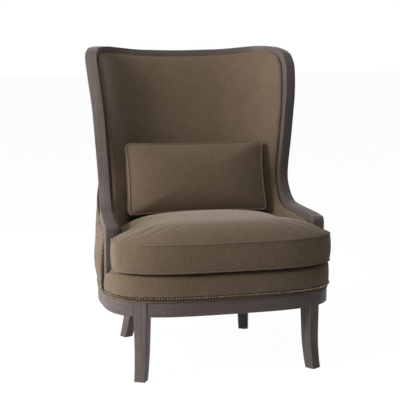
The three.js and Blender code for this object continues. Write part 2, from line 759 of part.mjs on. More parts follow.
// The stuffing's swell of an outside panel: none at its edges and above the waist.
function outsideSwell(share, z) {
  const line = Math.min(rimHeightAt(share) - RIM_THICKNESS, WAIST_Z);
  const rise = THREE.MathUtils.clamp((z - WALL_BOTTOM) / (line - WALL_BOTTOM), 0, 1);
  const power = THREE.MathUtils.lerp(SWELL_POWER_SHARE, SWELL_REAR_POWER_SHARE, Math.min(1, 2 * share));
  const edge = 1 - Math.min(1, share / SWELL_EDGE_SHARE);
  const fullness = Math.sqrt(1 - edge * edge) * (1 - BACK_FLATTENING_SHARE * share * share);
  return OUTSIDE_BULGE * fullness * Math.sin(Math.PI * rise) ** power - OUTSIDE_TUCK * rise;
}

// Height of the rim's face above a place on the wall.
function rimHeightAt(share) {
  const y = wallPoint(share, WAIST_Z).y;
  let height = POST_TOP;
  for (let i = 0; i <= (PLACE_STEPS * RIM_SPANS) / 2; i++) {
    const place = i / PLACE_STEPS;
    const { origin } = rimStation(place);
    if (origin.y <= y + GAP || place > WAIST_PLACE_SHARE) height = origin.z;
    if (origin.y > y && place < WAIST_PLACE_SHARE) break;
  }
  return height;
}

function levels(low, high, count) {
  return Array.from({ length: count + 1 }, (_, i) => THREE.MathUtils.lerp(low, high, i / count));
}

// A skin between an outer and an inner face over a range of the wall, mirrored
// across the middle where the range passes it.
function skin(shares, heights, outer, inner) {
  const place = (share, z, face) => {
    if (share <= 1) return face(share, z);
    const point = face(2 - share, z);
    return point.setX(-point.x);
  };
  const rings = heights.map((z) => [
    ...shares.map((share) => place(share, z, outer)),
    ...shares.map((share) => place(share, z, inner)).reverse(),
  ]);
  return toSolid(loft(rings));
}

function addOutsidePanels(cutter) {
  const trim = frontTrim(RIM_THICKNESS + GAP);
  const seamGap = GAP / (BASE_HALF_WIDTH + BASE_REAR_DEPTH); // as a share of the wall's length
  const heights = levels(WALL_BOTTOM, RAIL_TOP + RIM_HEIGHT, 10);
  const outer = (share, z) => wallOffset(share, z, outsideSwell(share, z));
  const inner = (share, z) => wallOffset(share, z, outsideSwell(share, z) - OUTSIDE_THICKNESS);
  const side = skin(levels(0, SEAM_SHARE - seamGap, 12), heights, outer, inner);
  const back = skin(levels(SEAM_SHARE + seamGap, 2 - SEAM_SHARE - seamGap, 16), heights, outer, inner);
  const fit = (solid) => mainBody(solid.subtract(trim).subtract(cutter));
  addPair("outside_panel", fit(side), FABRIC_LIGHT);
  addPiece("outside_back", fit(back), FABRIC_LIGHT);
}

// Distance from a place on the wall to the line where the inside fabric ends.
function rollDistance(y, z) {
  let least = Infinity;
  for (const [edgeY, edgeZ] of fabricEdge) least = Math.min(least, Math.hypot(y - edgeY, z - edgeZ));
  return least;
}

function edgeLine() {
  const line = [];
  for (let i = 0; i <= (PLACE_STEPS * RIM_SPANS) / 2; i++) {
    const station = rimStation(i / PLACE_STEPS);
    const point = station.origin.addScaledVector(station.deep, FABRIC_SETBACK);
    line.push([point.y, point.z]);
  }
  return line;
}

const fabricEdge = edgeLine();

// The padded face inside the barrel.
function insidePoint(share, z) {
  const back = wallOffset(share, z, -RIM_FACE - GAP);
  const rise = THREE.MathUtils.clamp((z - SEAT_LEVEL) / (CREST_Z - SEAT_LEVEL), 0, 1);
  const low = seatInside(share).setZ(z);
  const high = wallOffset(share, z, -RIM_FACE - CREST_PADDING);
  const full = new THREE.Vector3().lerpVectors(low, high, rise ** PADDING_POWER_SHARE);
  const padding = full.distanceTo(back);
  const spread = Math.min(1, rollDistance(back.y, z) / (PADDING_ROLL + padding / 2));
  const swell = Math.sqrt(1 - (1 - spread) ** 2);
  const reach = EDGE_PADDING + (padding - EDGE_PADDING) * swell;
  return back.lerp(full, reach / padding);
}

function addInside(cutter) {
  const trim = frontTrim(FABRIC_SETBACK);
  const shares = levels(0, 2, 32);
  const top = RAIL_TOP + RIM_HEIGHT - FABRIC_SETBACK + GAP;
  const rows = [...LINING_ROW_SHARES, ...LINING_UPPER_ROW_SHARES];
  const heights = rows.map((share) => THREE.MathUtils.lerp(INSIDE_BOTTOM, top, share));
  const outer = (share, z) => wallOffset(share, z, -RIM_FACE - GAP);
  const shell = skin(shares, heights, outer, insidePoint);
  const body = mainBody(shell.subtract(trim).subtract(cutter));
  addPiece("inside_shell", body, FABRIC);
}

// Hidden timber

function addSeatFrame() {
  const front = FRONT_LEG_DIRECTION;
  const rear = REAR_LEG_DIRECTION;
  const slack = GAP / BASE_HALF_WIDTH;
  const low = RAIL_TOP + GAP;
  const high = low + FRAME_HEIGHT;
  const section = [
    [-FRAME_INSET, high],
    [-FRAME_INSET, low],
    [-FRAME_INSET - FRAME_THICKNESS, low],
    [-FRAME_INSET - FRAME_THICKNESS, high],
  ];
  addPiece("seat_frame_front", baseSweep(-Math.PI - front + slack, front - slack, 16, section), TIMBER);
  const post = grownForFit(armPost(0));
  const side = baseSweep(front + slack, rear - slack, 12, section);
  addPair("seat_frame_side", mainBody(side.subtract(post)), TIMBER);
  addPiece("seat_frame_back", baseSweep(rear + slack, Math.PI - rear - slack, 10, section), TIMBER);
}

// A member across the back, bent with the wall between two uprights.
function stretcher(z, halfLength) {
  const rings = [];
  const steps = 8;
  for (let i = 0; i <= steps; i++) {
    const x = THREE.MathUtils.lerp(-halfLength, halfLength, i / steps);
    const y = uprightFront(z);
    rings.push([
      new THREE.Vector3(x, y, z),
      new THREE.Vector3(x, y + UPRIGHT_DEPTH, z),
      new THREE.Vector3(x, y + UPRIGHT_DEPTH, z + STRETCHER_HEIGHT),
      new THREE.Vector3(x, y, z + STRETCHER_HEIGHT),
    ]);
  }
  return toSolid(loft(rings));
}

// Front face of the uprights at a height, clear of the padding behind it.
function uprightFront(z) {
  return wallPoint(UPRIGHT_PLACE_SHARE, z).y - RIM_FACE + OUTSIDE_THICKNESS + GAP;
}

function addBackTimber() {
  const low = RAIL_TOP + FRAME_HEIGHT + 2 * GAP;
  const rings = [low, WAIST_Z, UPRIGHT_TOP].map((z) => {
    const y = uprightFront(z);
    return [
      new THREE.Vector3(UPRIGHT_X - UPRIGHT_WIDTH / 2, y, z),
      new THREE.Vector3(UPRIGHT_X + UPRIGHT_WIDTH / 2, y, z),
      new THREE.Vector3(UPRIGHT_X + UPRIGHT_WIDTH / 2, y + UPRIGHT_DEPTH, z),
      new THREE.Vector3(UPRIGHT_X - UPRIGHT_WIDTH / 2, y + UPRIGHT_DEPTH, z),
    ];
  });
  const others = ["inside_shell", "outside_back"].map((name) => grownForFit(solids.get(name)));
  const shave = (solid) => mainBody(others.reduce((rest, other) => rest.subtract(other), solid));
  const upright = toSolid(loft(rings));
  addPiece("back_upright_right", shave(upright), TIMBER);
  addPiece("back_upright_left", shave(mirrored(upright)), TIMBER);
  const span = UPRIGHT_X - UPRIGHT_WIDTH / 2 - GAP;
  addPiece("back_stretcher_low", shave(stretcher(STRETCHER_LOW_Z, span)), TIMBER);
  addPiece("back_stretcher_high", shave(stretcher(STRETCHER_HIGH_Z, span)), TIMBER);
}

// Springs, deck and trims

// A zigzag seat spring between the front and back members of the seat frame.
function zigzag(x, from, to, z) {
  const points = [new THREE.Vector3(x, from, z)];
  const turns = Math.round((to - from) / SPRING_TURN_LENGTH);
  const pitch = (to - from) / turns;
  for (let i = 0; i < turns; i++) {
    const side = i % 2 ? -1 : 1;
    const middle = from + (i + 0.5) * pitch;
    points.push(new THREE.Vector3(x + side * SPRING_SWING, middle - pitch / 4, z));
    points.push(new THREE.Vector3(x + side * SPRING_SWING, middle + pitch / 4, z));
  }
  points.push(new THREE.Vector3(x, to, z));
  const path = new THREE.CatmullRomCurve3(points, false, "catmullrom", 0.3);
  const sides = levels(0, 2 * Math.PI, 4).slice(1);
  const radius = SPRING_WIRE / 2;
  const wire = new THREE.Shape(
    sides.map((turn) => new THREE.Vector2(radius * Math.cos(turn), radius * Math.sin(turn))),
  );
  const geometry = new THREE.ExtrudeGeometry(wire, { steps: turns * 3, extrudePath: path });
  return toSolid(geometry);
}

function addSprings() {
  const frameInner = FRAME_INSET + FRAME_THICKNESS;
  const top = RAIL_TOP + FRAME_HEIGHT + GAP;
  const z = top + CLIP_THICKNESS + GAP + SPRING_WIRE / 2 + GAP;
  for (let i = 0; i < SPRING_COUNT; i++) {
    const x = (i - (SPRING_COUNT - 1) / 2) * SPRING_PITCH;
    const front = planY(x, -1, -frameInner) - CLIP_LENGTH / 2;
    const back = planY(x, 1, -frameInner) + CLIP_LENGTH / 2;
    addPiece(`seat_spring_${i + 1}`, zigzag(x, front, back, z), STEEL);
    for (const [end, y] of [["front", front], ["back", back]]) {
      const low = new THREE.Vector3(x - CLIP_WIDTH / 2, y - CLIP_LENGTH / 2, top + GAP);
      const high = new THREE.Vector3(x + CLIP_WIDTH / 2, y + CLIP_LENGTH / 2, top + GAP + CLIP_THICKNESS);
      addPiece(`spring_clip_${end}_${i + 1}`, block(low, high), STEEL);
    }
  }
}

// Where a line of constant x meets an offset of the base plan, at its front or rear.
function planY(x, side, outset) {
  let best = basePoint((side * Math.PI) / 2, outset, 0);
  const steps = 400;
  for (let i = 0; i <= steps; i++) {
    const point = basePoint((side * Math.PI * i) / steps, outset, 0);
    if (Math.abs(point.x - x) < Math.abs(best.x - x)) best = point;
  }
  return best.y;
}

function clearOfPosts(solid) {
  const post = grownForFit(armPost(0));
  return mainBody(solid.subtract(post).subtract(mirrored(post)));
}

const EAR_DIRECTION = directionOf(BASE_HALF_WIDTH, RIM_FRONT_Y - GAP);

// The border in front of the posts: it covers the seat frame's front.
function addDeckBand() {
  const start = -Math.PI - EAR_DIRECTION;
  const low = WALL_BOTTOM;
  const inner = BAND_PROUD - BAND_THICKNESS;
  const section = [
    [BAND_PROUD - BAND_ROUND / 4, low],
    [BAND_PROUD, low + BAND_ROUND],
    [BAND_PROUD, DECK_TOP - BAND_ROUND],
    [BAND_PROUD - BAND_ROUND / 3, DECK_TOP - BAND_ROUND / 3],
    [BAND_PROUD - BAND_ROUND, DECK_TOP],
    [inner, DECK_TOP],
    [inner, DECK_TOP - BAND_ROUND],
    [inner, low],
  ];
  addPiece("deck_band", clearOfPosts(baseSweep(start, EAR_DIRECTION, 30, section)), FABRIC);
}

// The padded deck that the loose cushion lies on.
function addDeck() {
  const points = [];
  const steps = 32;
  const inset = BAND_THICKNESS - BAND_PROUD + GAP;
  for (let i = 0; i <= steps; i++) {
    const angle = THREE.MathUtils.lerp(-Math.PI - EAR_DIRECTION, EAR_DIRECTION, i / steps);
    const point = basePoint(angle, -inset, 0);
    points.push(new THREE.Vector2(point.x, point.y));
  }
  const inside = (share) => {
    const point = insidePoint(share, INSIDE_BOTTOM);
    return new THREE.Vector2(point.x, point.y);
  };
  const rear = levels(0, 2, 36).map((share) => {
    const point = inside(share <= 1 ? share : 2 - share);
    const x = share <= 1 ? point.x : -point.x;
    return new THREE.Vector2(x * (1 - 4 * GAP / BASE_HALF_WIDTH), point.y - 4 * GAP * Math.min(1, share));
  });
  const shape = new THREE.Shape([...points, ...rear]);
  const geometry = new THREE.ExtrudeGeometry(shape, { depth: DECK_THICKNESS, bevelEnabled: false });
  geometry.translate(0, 0, DECK_TOP - DECK_THICKNESS);
  const post = armPost(GAP);
  const others = ["inside_shell", "deck_band"].map((name) => grownForFit(solids.get(name)));
  const cutters = [post, mirrored(post), ...others];
  const deck = cutters.reduce((rest, other) => rest.subtract(other), toSolid(geometry));
  addPiece("deck_pad", mainBody(deck), FABRIC);
}

// Double welt along the rail, under the fabric's lower edge.
function addBaseWelts() {
  const low = RAIL_TOP + GAP;
  const section = [
    [WELT_SIZE * 0.7, low + WELT_SIZE * 0.3],
    [WELT_SIZE * 0.7, low + WELT_SIZE * 0.7],
    [WELT_SIZE * 0.2, low + WELT_SIZE * 0.8 - GAP],
    [-WELT_SIZE * 0.8, low + WELT_SIZE * 0.7 - GAP],
    [-WELT_SIZE * 0.8, low],
    [WELT_SIZE * 0.2, low],
  ];
  const slack = GAP / BASE_HALF_WIDTH;
  const front = clearOfPosts(baseSweep(-Math.PI - EAR_DIRECTION, EAR_DIRECTION, 30, section));
  addPiece("base_welt_front", front, GIMP);
  const start = directionOf(BASE_HALF_WIDTH, WALL_FRONT_Y);
  addPiece("base_welt_back", baseSweep(start + slack, Math.PI - start - slack, 36, section), GIMP);
}

function addDustCover() {
  const shape = new THREE.Shape();
  const steps = 40;
  const inset = -RAIL_THICKNESS / 2;
  for (let i = 0; i < steps; i++) {
    const point = basePoint((2 * Math.PI * i) / steps, inset, 0);
    if (i === 0) shape.moveTo(point.x, point.y);
    else shape.lineTo(point.x, point.y);
  }
  shape.closePath();
  const geometry = new THREE.ExtrudeGeometry(shape, { depth: COVER_THICKNESS, bevelEnabled: false });
  geometry.translate(0, 0, RAIL_BOTTOM - GAP - COVER_THICKNESS);
  const legs = [frontLeg(GAP), rearLeg(GAP)];
  const cutters = [...legs, ...legs.map(mirrored)];
  addPiece("dust_cover", mainBody(cutters.reduce((rest, leg) => rest.subtract(leg), toSolid(geometry))), COVER);
}

// Cushions

// A crowned body: an outline scaled towards its centre in rings, with a crown above
// and below a boxing.
function crowned(outline, centre, low, high, crown, belly, bulge) {
  const ringAt = (scale, z, swell = 0) =>
    outline.map((point) => {
      const arm = new THREE.Vector3().subVectors(point, centre);
      return arm.multiplyScalar(scale + swell / arm.length()).add(centre).setZ(z);
    });
  const profile = (scale) => 1 - scale ** CROWN_POWER_SHARE;
  const scales = [0.12, 0.45, 0.7, 0.86, 0.95];
  const rings = [
    ...scales.map((scale) => ringAt(scale, low - belly * profile(scale))),
    ringAt(1, low),
    ringAt(1, (low + high) / 2, bulge),
    ringAt(1, high),
    ...scales.map((scale) => ringAt(scale, high + crown * profile(scale))).reverse(),
  ];
  return toSolid(loft(rings));
}

// The T-shaped outline of the seat cushion, from the front round to the back.
function cushionOutline() {
  const half = [];
  const front = 9;
  const earFront = directionOf(BASE_HALF_WIDTH, CUSHION_EAR_BACK - 2 * CUSHION_EAR_ROUND);
  for (let i = 0; i <= front; i++) {
    const angle = THREE.MathUtils.lerp(-Math.PI / 2, earFront, i / front);
    const point = basePoint(angle, CUSHION_FRONT_PROUD, 0);
    point.x = Math.min(point.x, CUSHION_EAR_HALF_WIDTH);
    half.push(point);
  }
  const corner = new THREE.Vector3(
    CUSHION_EAR_HALF_WIDTH - CUSHION_EAR_ROUND,
    CUSHION_EAR_BACK - CUSHION_EAR_ROUND,
    0,
  );
  for (const turn of levels(0, Math.PI / 2, 3)) {
    const arc = new THREE.Vector3(Math.cos(turn), Math.sin(turn), 0);
    half.push(corner.clone().addScaledVector(arc, CUSHION_EAR_ROUND));
  }
  const notch = POST_OUTER_X - RIM_FACE - CUSHION_CLEARANCE;
  half.push(new THREE.Vector3(notch, CUSHION_EAR_BACK, 0));
  levels(0, 1, 18).forEach((share) => {
    const point = tightInside(share);
    const inward = insideNormal(share);
    point.addScaledVector(inward, CUSHION_CLEARANCE).setZ(0);
    point.x = Math.min(point.x, notch);
    half.push(point);
  });
  const left = half
    .slice(1, -1)
    .reverse()
    .map((point) => point.clone().setX(-point.x));
  return [...half, ...left];
}

// The inside face where it stands furthest in over the cushion's height.
function tightInside(share) {
  const low = insidePoint(share, CUSHION_WELT_LOW);
  const high = insidePoint(share, CUSHION_WELT_HIGH);
  const centre = new THREE.Vector3(0, CUSHION_CENTRE_Y, 0);
  const flat = (point) => Math.hypot(point.x - centre.x, point.y - centre.y);
  return flat(low) < flat(high) ? low : high;
}

function insideNormal(share) {
  const step = 0.01;
  if (share > 1 - step) return new THREE.Vector3(0, -1, 0);
  const ahead = tightInside(Math.min(1, share + step));
  const along = ahead.sub(tightInside(Math.max(0, share - step)));
  return new THREE.Vector3(-along.y, along.x, 0).normalize();
}

function addSeatCushion() {
  const centre = new THREE.Vector3(0, CUSHION_CENTRE_Y, 0);
  const [low, high] = [CUSHION_WELT_LOW, CUSHION_WELT_HIGH];
  const body = crowned(cushionOutline(), centre, low, high, CUSHION_CROWN, CUSHION_BELLY, BOXING_BULGE);
  const down = new THREE.Vector3(0, 0, -1);
  addPiece("seat_cushion", settle(body, ["deck_pad", "deck_band"], down), FABRIC);
}

// Moves a solid along a direction until it lies at the fit gap from its seats.
function settle(solid, seats, direction) {
  const targets = seats.map((name) => solids.get(name));
  let moved = solid;
  for (let i = 0; i < 12; i++) {
    const search = CUT_OVERRUN;
    const gap = Math.min(...targets.map((target) => moved.minGap(target, search)));
    if (gap - GAP < GAP / 10) break;
    moved = moved.translate(...direction.clone().multiplyScalar(gap - GAP));
  }
  return moved;
}

function pillowOutline() {
  const points = [];
  const steps = 48;
  for (let i = 0; i < steps; i++) {
    const angle = (2 * Math.PI * (i + 0.5)) / steps;
    const [c, s] = [Math.cos(angle), Math.sin(angle)];
    const power = PILLOW_CORNER_POWER_SHARE;
    const radius = (Math.abs(c) ** power + Math.abs(s) ** power) ** (-1 / power);
    const x = radius * c;
    const y = radius * s;
    points.push(
      new THREE.Vector3(
        (PILLOW_WIDTH / 2) * x - PILLOW_PINCH * x * (1 - y * y),
        (PILLOW_HEIGHT / 2) * y - PILLOW_PINCH * y * (1 - x * x),
        0,
      ),
    );
  }
  return points;
}

function addPillow() {
  const half = PILLOW_BOXING / 2;
  const centre = new THREE.Vector3();
  const body = crowned(pillowOutline(), centre, -half, half, PILLOW_CROWN, PILLOW_CROWN, 0);
  const geometry = toGeometry(body);
  geometry.rotateX(Math.PI / 2 - PILLOW_RAKE);
  const lift = CUSHION_WELT_HIGH + CUSHION_CROWN + PILLOW_HEIGHT / 2 + PILLOW_START_LIFT;
  geometry.translate(0, INSIDE_SEAT_REAR_Y - PILLOW_START_SETBACK, lift);
  const down = new THREE.Vector3(0, 0, -1);
  const back = new THREE.Vector3(0, 1, 0);
  let pillow = settle(toSolid(geometry), ["seat_cushion"], down);
  pillow = settle(pillow, ["inside_shell"], back);
  pillow = settle(pillow, ["inside_shell", "seat_cushion"], down);
  addPiece("lumbar_pillow", pillow, FABRIC);
}

addLegs();
addRails();
addCornerBlocks();
addRim();
const cutter = rimCutter();
addOutsidePanels(cutter);
addInside(cutter);
addSeatFrame();
addBackTimber();
addSprings();
addDeckBand();
addDeck();
addBaseWelts();
addDustCover();
addSeatCushion();
addPillow();

// The origin lies under the middle of the chair's bounding box.
const bounds = new THREE.Box3().setFromObject(chair);
chair.position.set(-(bounds.min.x + bounds.max.x) / 2, -(bounds.min.y + bounds.max.y) / 2, -bounds.min.z);

export default chair;
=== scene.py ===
"""Dresses a barrel wing chair: show-wood frame, upholstered barrel, seat cushion and lumbar pillow.

All lengths are in metres, +Z is up and the front of the chair faces -Y.
"""
import bpy
import bmesh
import json
import logging
import math
from dataclasses import dataclass, field
from enum import Enum
from typing import Callable, Sequence

import numpy as np
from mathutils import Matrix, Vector
from mathutils.kdtree import KDTree

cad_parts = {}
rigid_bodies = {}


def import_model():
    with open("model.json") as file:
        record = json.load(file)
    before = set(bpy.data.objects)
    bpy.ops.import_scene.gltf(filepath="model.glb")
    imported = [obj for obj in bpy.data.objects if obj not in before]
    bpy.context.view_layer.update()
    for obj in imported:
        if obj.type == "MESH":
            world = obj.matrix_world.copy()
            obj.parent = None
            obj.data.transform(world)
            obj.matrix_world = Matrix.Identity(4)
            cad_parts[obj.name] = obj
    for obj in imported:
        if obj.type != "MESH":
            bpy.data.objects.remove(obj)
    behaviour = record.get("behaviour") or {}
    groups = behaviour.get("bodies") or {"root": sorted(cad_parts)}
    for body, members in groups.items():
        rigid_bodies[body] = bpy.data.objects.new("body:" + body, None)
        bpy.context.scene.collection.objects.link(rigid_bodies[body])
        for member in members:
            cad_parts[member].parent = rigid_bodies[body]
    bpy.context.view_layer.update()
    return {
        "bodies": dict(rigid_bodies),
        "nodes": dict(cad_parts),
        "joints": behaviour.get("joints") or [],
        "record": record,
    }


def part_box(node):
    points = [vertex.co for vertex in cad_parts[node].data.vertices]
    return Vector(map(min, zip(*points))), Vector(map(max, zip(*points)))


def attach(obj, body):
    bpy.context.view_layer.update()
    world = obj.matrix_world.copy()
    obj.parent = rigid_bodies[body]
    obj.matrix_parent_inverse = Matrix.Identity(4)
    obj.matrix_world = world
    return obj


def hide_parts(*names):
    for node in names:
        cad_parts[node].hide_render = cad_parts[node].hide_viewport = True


Array = np.ndarray
LOG = logging.getLogger("fireside_chair")

BODY_CHAIR = "chair"
BODY_CUSHION = "cushion"
BODY_PILLOW = "pillow"

# Gaps between pieces, the spacing of sewn lines and the least step kept in an outline.
JOINT_GAP = 0.0003
SEAM_GAP = 0.0006
SEWN_OUTSET = 0.0004
CORD_SPACING = 0.006
LEAST_STEP = 0.002

PLAN_STEPS = 319
CUSHION_CENTRE_Y = -0.190
SUBDIVISION_LEVELS = 1

# Edges sharper than these stay crisp, in degrees.
LOOSE_CREASE = 40.0
FIRM_CREASE = 50.0
FABRIC_CREASE = 60.0
CORD_CREASE = 70.0


class Side(Enum):
    """The chair's two hands, as the sign of X."""

    RIGHT = 1
    LEFT = -1

    @property
    def word(self) -> str:
        """The side's name in node names."""
        return self.name.lower()

    def turned(self, points: Array) -> Array:
        """Points of the right side, mirrored where this is the left one."""
        return points if self is Side.RIGHT else mirror_x(points)


# Small helpers on arrays


def unit(vectors: Array) -> Array:
    """Scales each vector of the last axis to length one."""
    return vectors / np.maximum(np.linalg.norm(vectors, axis=-1, keepdims=True), 1e-12)


def smooth(value: Array | float, low: float, high: float) -> Array:
    """A smooth step of a value: 3t^2 - 2t^3, where t runs from 0 at low to 1 at high."""
    share = np.clip((np.asarray(value, float) - low) / (high - low), 0, 1)
    return share * share * (3 - 2 * share)


def arc_lengths(points: Array) -> Array:
    """Distance of each point along a line, from its first point."""
    steps = np.linalg.norm(np.diff(points, axis=0), axis=1)
    return np.concatenate([[0.0], np.cumsum(steps)])


def resample(points: Array, spacing: float, closed: bool = False) -> Array:
    """Places points at even spacing along a line.

    Args:
        points: The line.
        spacing: Wanted distance between the new points.
        closed: True if the line returns to its start.

    Returns:
        The evenly spaced points, without a repeated end when closed.
    """
    line = np.vstack([points, points[:1]]) if closed else points
    lengths = arc_lengths(line)
    count = max(2, int(round(lengths[-1] / spacing)))
    wanted = np.linspace(0, lengths[-1], count + 1)
    if closed:
        wanted = wanted[:-1]
    return np.stack([np.interp(wanted, lengths, line[:, axis]) for axis in range(line.shape[1])], axis=1)


def mirror_x(points: Array) -> Array:
    """Points on the chair's other side."""
    return points * np.array([-1.0, 1.0, 1.0])


def whole_line(half: Array, spacing: float, shared: int = 0) -> Array:
    """Joins a right side's line to its mirror image, evenly spaced; its shared last points count once."""
    return resample(np.vstack([half, mirror_x(half[::-1][shared:])]), spacing)


def distances(points: Array, targets: Array) -> Array:
    """Distance of each point to the nearest of the targets.

    Args:
        points: Points, n by 3.
        targets: Points, k by 3.

    Returns:
        The n distances.
    """
    tree = KDTree(len(targets))
    for i, target in enumerate(targets):
        tree.insert(target, i)
    tree.balance()
    return np.array([tree.find(point)[2] for point in points])


def line_normals(points: Array, closed: bool = False) -> tuple[Array, Array]:
    """Tangents of a line and its level normals to the right of them.

    Args:
        points: The line, n by 3.
        closed: True if the line returns to its start.

    Returns:
        Unit tangents and unit normals, each n by 3.
    """
    if closed:
        tangent = np.roll(points, -1, axis=0) - np.roll(points, 1, axis=0)
    else:
        tangent = np.gradient(points, axis=0)
    tangent = unit(tangent)
    normal = unit(np.stack([tangent[:, 1], -tangent[:, 0], np.zeros(len(points))], axis=1))
    return tangent, normal


# Meshes


@dataclass
class Patches:
    """Collects grids and polygons into one mesh with a UV map in metres."""

    name: str
    points: list[Array] = field(default_factory=list)
    faces: list[Array] = field(default_factory=list)
    loops: list[Array] = field(default_factory=list)
    caps: list[list[int]] = field(default_factory=list)
    count: int = 0

    def add_grid(self, grid: Array, wrap: bool = False, cap: bool = False, across: bool = False) -> None:
        """Adds a grid of quads: rows run along the piece, columns run round or across it.

        The UV map holds the distance along the rows and round the columns.

        Args:
            grid: Rows by columns by 3.
            wrap: True if the last column joins the first.
            cap: True to close the first and last rows.
            across: True if the grain runs round the columns.
        """
        rows, cols = grid.shape[:2]
        spans = cols if wrap else cols - 1
        index = np.arange(rows * cols).reshape(rows, cols) + self.count
        row = np.repeat(np.arange(rows - 1), spans)
        col = np.tile(np.arange(spans), rows - 1)
        after = (col + 1) % cols
        corners = index[row, col], index[row, after], index[row + 1, after], index[row + 1, col]
        quads = np.stack(corners, axis=1)
        middle = grid[:, cols // 2]
        along = arc_lengths(middle)
        ring = grid[rows // 2]
        around = arc_lengths(np.vstack([ring, ring[:1]]))
        corner_u = np.stack([along[row], along[row], along[row + 1], along[row + 1]], axis=1)
        corner_v = np.stack([around[col], around[col + 1], around[col + 1], around[col]], axis=1)
        self.points.append(grid.reshape(-1, 3))
        self.faces.append(quads)
        pair = [corner_v, corner_u] if across else [corner_u, corner_v]
        self.loops.append(np.stack(pair, axis=-1).reshape(-1, 2))
        if cap:
            self.caps.append(index[0][::-1].tolist())
            self.caps.append(index[-1].tolist())
        self.count += rows * cols

    def build(self, material: bpy.types.Material, smooth_angle: float) -> bpy.types.Object:
        """Makes the mesh object, with its faces turned outwards.

        Args:
            material: The piece's finish.
            smooth_angle: Edges sharper than this stay crisp, in degrees.

        Returns:
            The new object, at the origin.
        """
        mesh = bpy.data.meshes.new(self.name)
        faces = np.concatenate(self.faces).tolist() + self.caps
        mesh.from_pydata(np.concatenate(self.points).tolist(), [], faces)
        uv = mesh.uv_layers.new(name="Grain")
        coords = np.zeros((len(mesh.loops), 2), np.float32)
        flat = np.concatenate(self.loops)
        coords[: len(flat)] = flat
        uv.data.foreach_set("uv", coords.ravel())
        mesh.materials.append(material)
        tidy_mesh(mesh)
        piece = bpy.data.objects.new(self.name, mesh)
        bpy.context.scene.collection.objects.link(piece)
        shade(mesh, smooth_angle)
        return piece


def solid(name: str, grid: Array, material: bpy.types.Material, smooth_angle: float,
          across: bool = False) -> bpy.types.Object:
    """A piece of one grid that wraps round its columns and is closed at both ends.

    Args:
        name: The piece's name.
        grid: Rows by columns by 3.
        material: Its finish.
        smooth_angle: Edges sharper than this stay crisp, in degrees.
        across: True if the grain runs round the columns.

    Returns:
        The new piece.
    """
    patches = Patches(name)
    patches.add_grid(grid, wrap=True, cap=True, across=across)
    return patches.build(material, smooth_angle)


def tidy_mesh(mesh: bpy.types.Mesh) -> None:
    """Merges doubled points and turns the faces of a closed mesh outwards.

    Args:
        mesh: The mesh to change.
    """
    work = bmesh.new()
    work.from_mesh(mesh)
    bmesh.ops.remove_doubles(work, verts=work.verts, dist=1e-6)
    bmesh.ops.recalc_face_normals(work, faces=work.faces)
    work.to_mesh(mesh)
    work.free()


def shade(mesh: bpy.types.Mesh, angle: float) -> None:
    """Shades a mesh smooth and keeps its sharper edges crisp.

    Args:
        mesh: The mesh to change.
        angle: The least angle of a crisp edge, in degrees.
    """
    mesh.polygons.foreach_set("use_smooth", np.ones(len(mesh.polygons), bool))
    mesh.set_sharp_from_angle(angle=math.radians(angle))
    mesh.update()


def place(piece: bpy.types.Object, body: str, slot: str, nodes: Sequence[str] = ()) -> bpy.types.Object:
    """Puts a piece on its body and hides the nodes it stands for.

    Args:
        piece: The new piece.
        body: The CAD body that it rides on.
        slot: The record's material slot; not used.
        nodes: The CAD nodes that it replaces.

    Returns:
        The piece.
    """
    if nodes:
        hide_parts(*nodes)
    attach(piece, body)
    LOG.info("%s rides on %s, %d faces", piece.name, body, len(piece.data.polygons))
    return piece


def wood_piece(name: str, grid: Array, finish: bpy.types.Material, across: bool = False) -> None:
    """Makes a piece of wood in its node's place, with its grain along the rows or across them."""
    place(solid("wood_" + name, grid, finish, FIRM_CREASE, across), BODY_CHAIR, "wood", [name])


def tube(name: str, path: Array, radius: float, material: bpy.types.Material, closed: bool = False,
         sides: int = 10) -> bpy.types.Object:
    """A cord of round section along a path, with domed ends where it is open.

    A point is path + radius * (cos a * normal + sin a * binormal).

    Args:
        name: The piece's name.
        path: The line that it follows.
        radius: Its radius.
        material: Its finish.
        closed: True if the path returns to its start.
        sides: Points round its section.

    Returns:
        The new piece.
    """
    tangent, normal = line_normals(path, closed)
    binormal = unit(np.cross(tangent, normal))
    turn = np.linspace(0, 2 * math.pi, sides, endpoint=False)[None, :, None]
    ring = normal[:, None] * np.cos(turn) + binormal[:, None] * np.sin(turn)
    grid = path[:, None] + radius * ring
    if not closed:
        start = path[:1, None] + 0.55 * radius * ring[:1] - tangent[:1, None] * radius * 0.6
        end = path[-1:, None] + 0.55 * radius * ring[-1:] + tangent[-1:, None] * radius * 0.6
        return solid(name, np.concatenate([start, grid, end]), material, CORD_CREASE)
    patches = Patches(name)
    patches.add_grid(np.concatenate([grid, grid[:1]]), wrap=True)
    return patches.build(material, CORD_CREASE)


def closed_skin(name: str, front: Array, back: Array, material: bpy.types.Material) -> bpy.types.Object:
    """A padded skin: a front face and a back face on the same grid, joined at every edge.

    Args:
        name: The piece's name.
        front: Rows by columns by 3, the face that shows.
        back: The face behind it, on the same grid.
        material: The skin's finish.

    Returns:
        The new piece.
    """
    rows, cols = front.shape[:2]
    ring = np.concatenate([front, back[:, ::-1]], axis=1)
    patches = Patches(name)
    patches.add_grid(ring, wrap=True)
    for row, flip in ((0, False), (rows - 1, True)):
        base = row * 2 * cols
        left = base + np.arange(cols - 1)
        other = base + 2 * cols - 1 - np.arange(cols - 1)
        quads = np.stack([left + 1, left, other, other - 1], axis=1)
        patches.caps.extend((quads[:, ::-1] if flip else quads).tolist())
    return patches.build(material, FABRIC_CREASE)


# Finishes


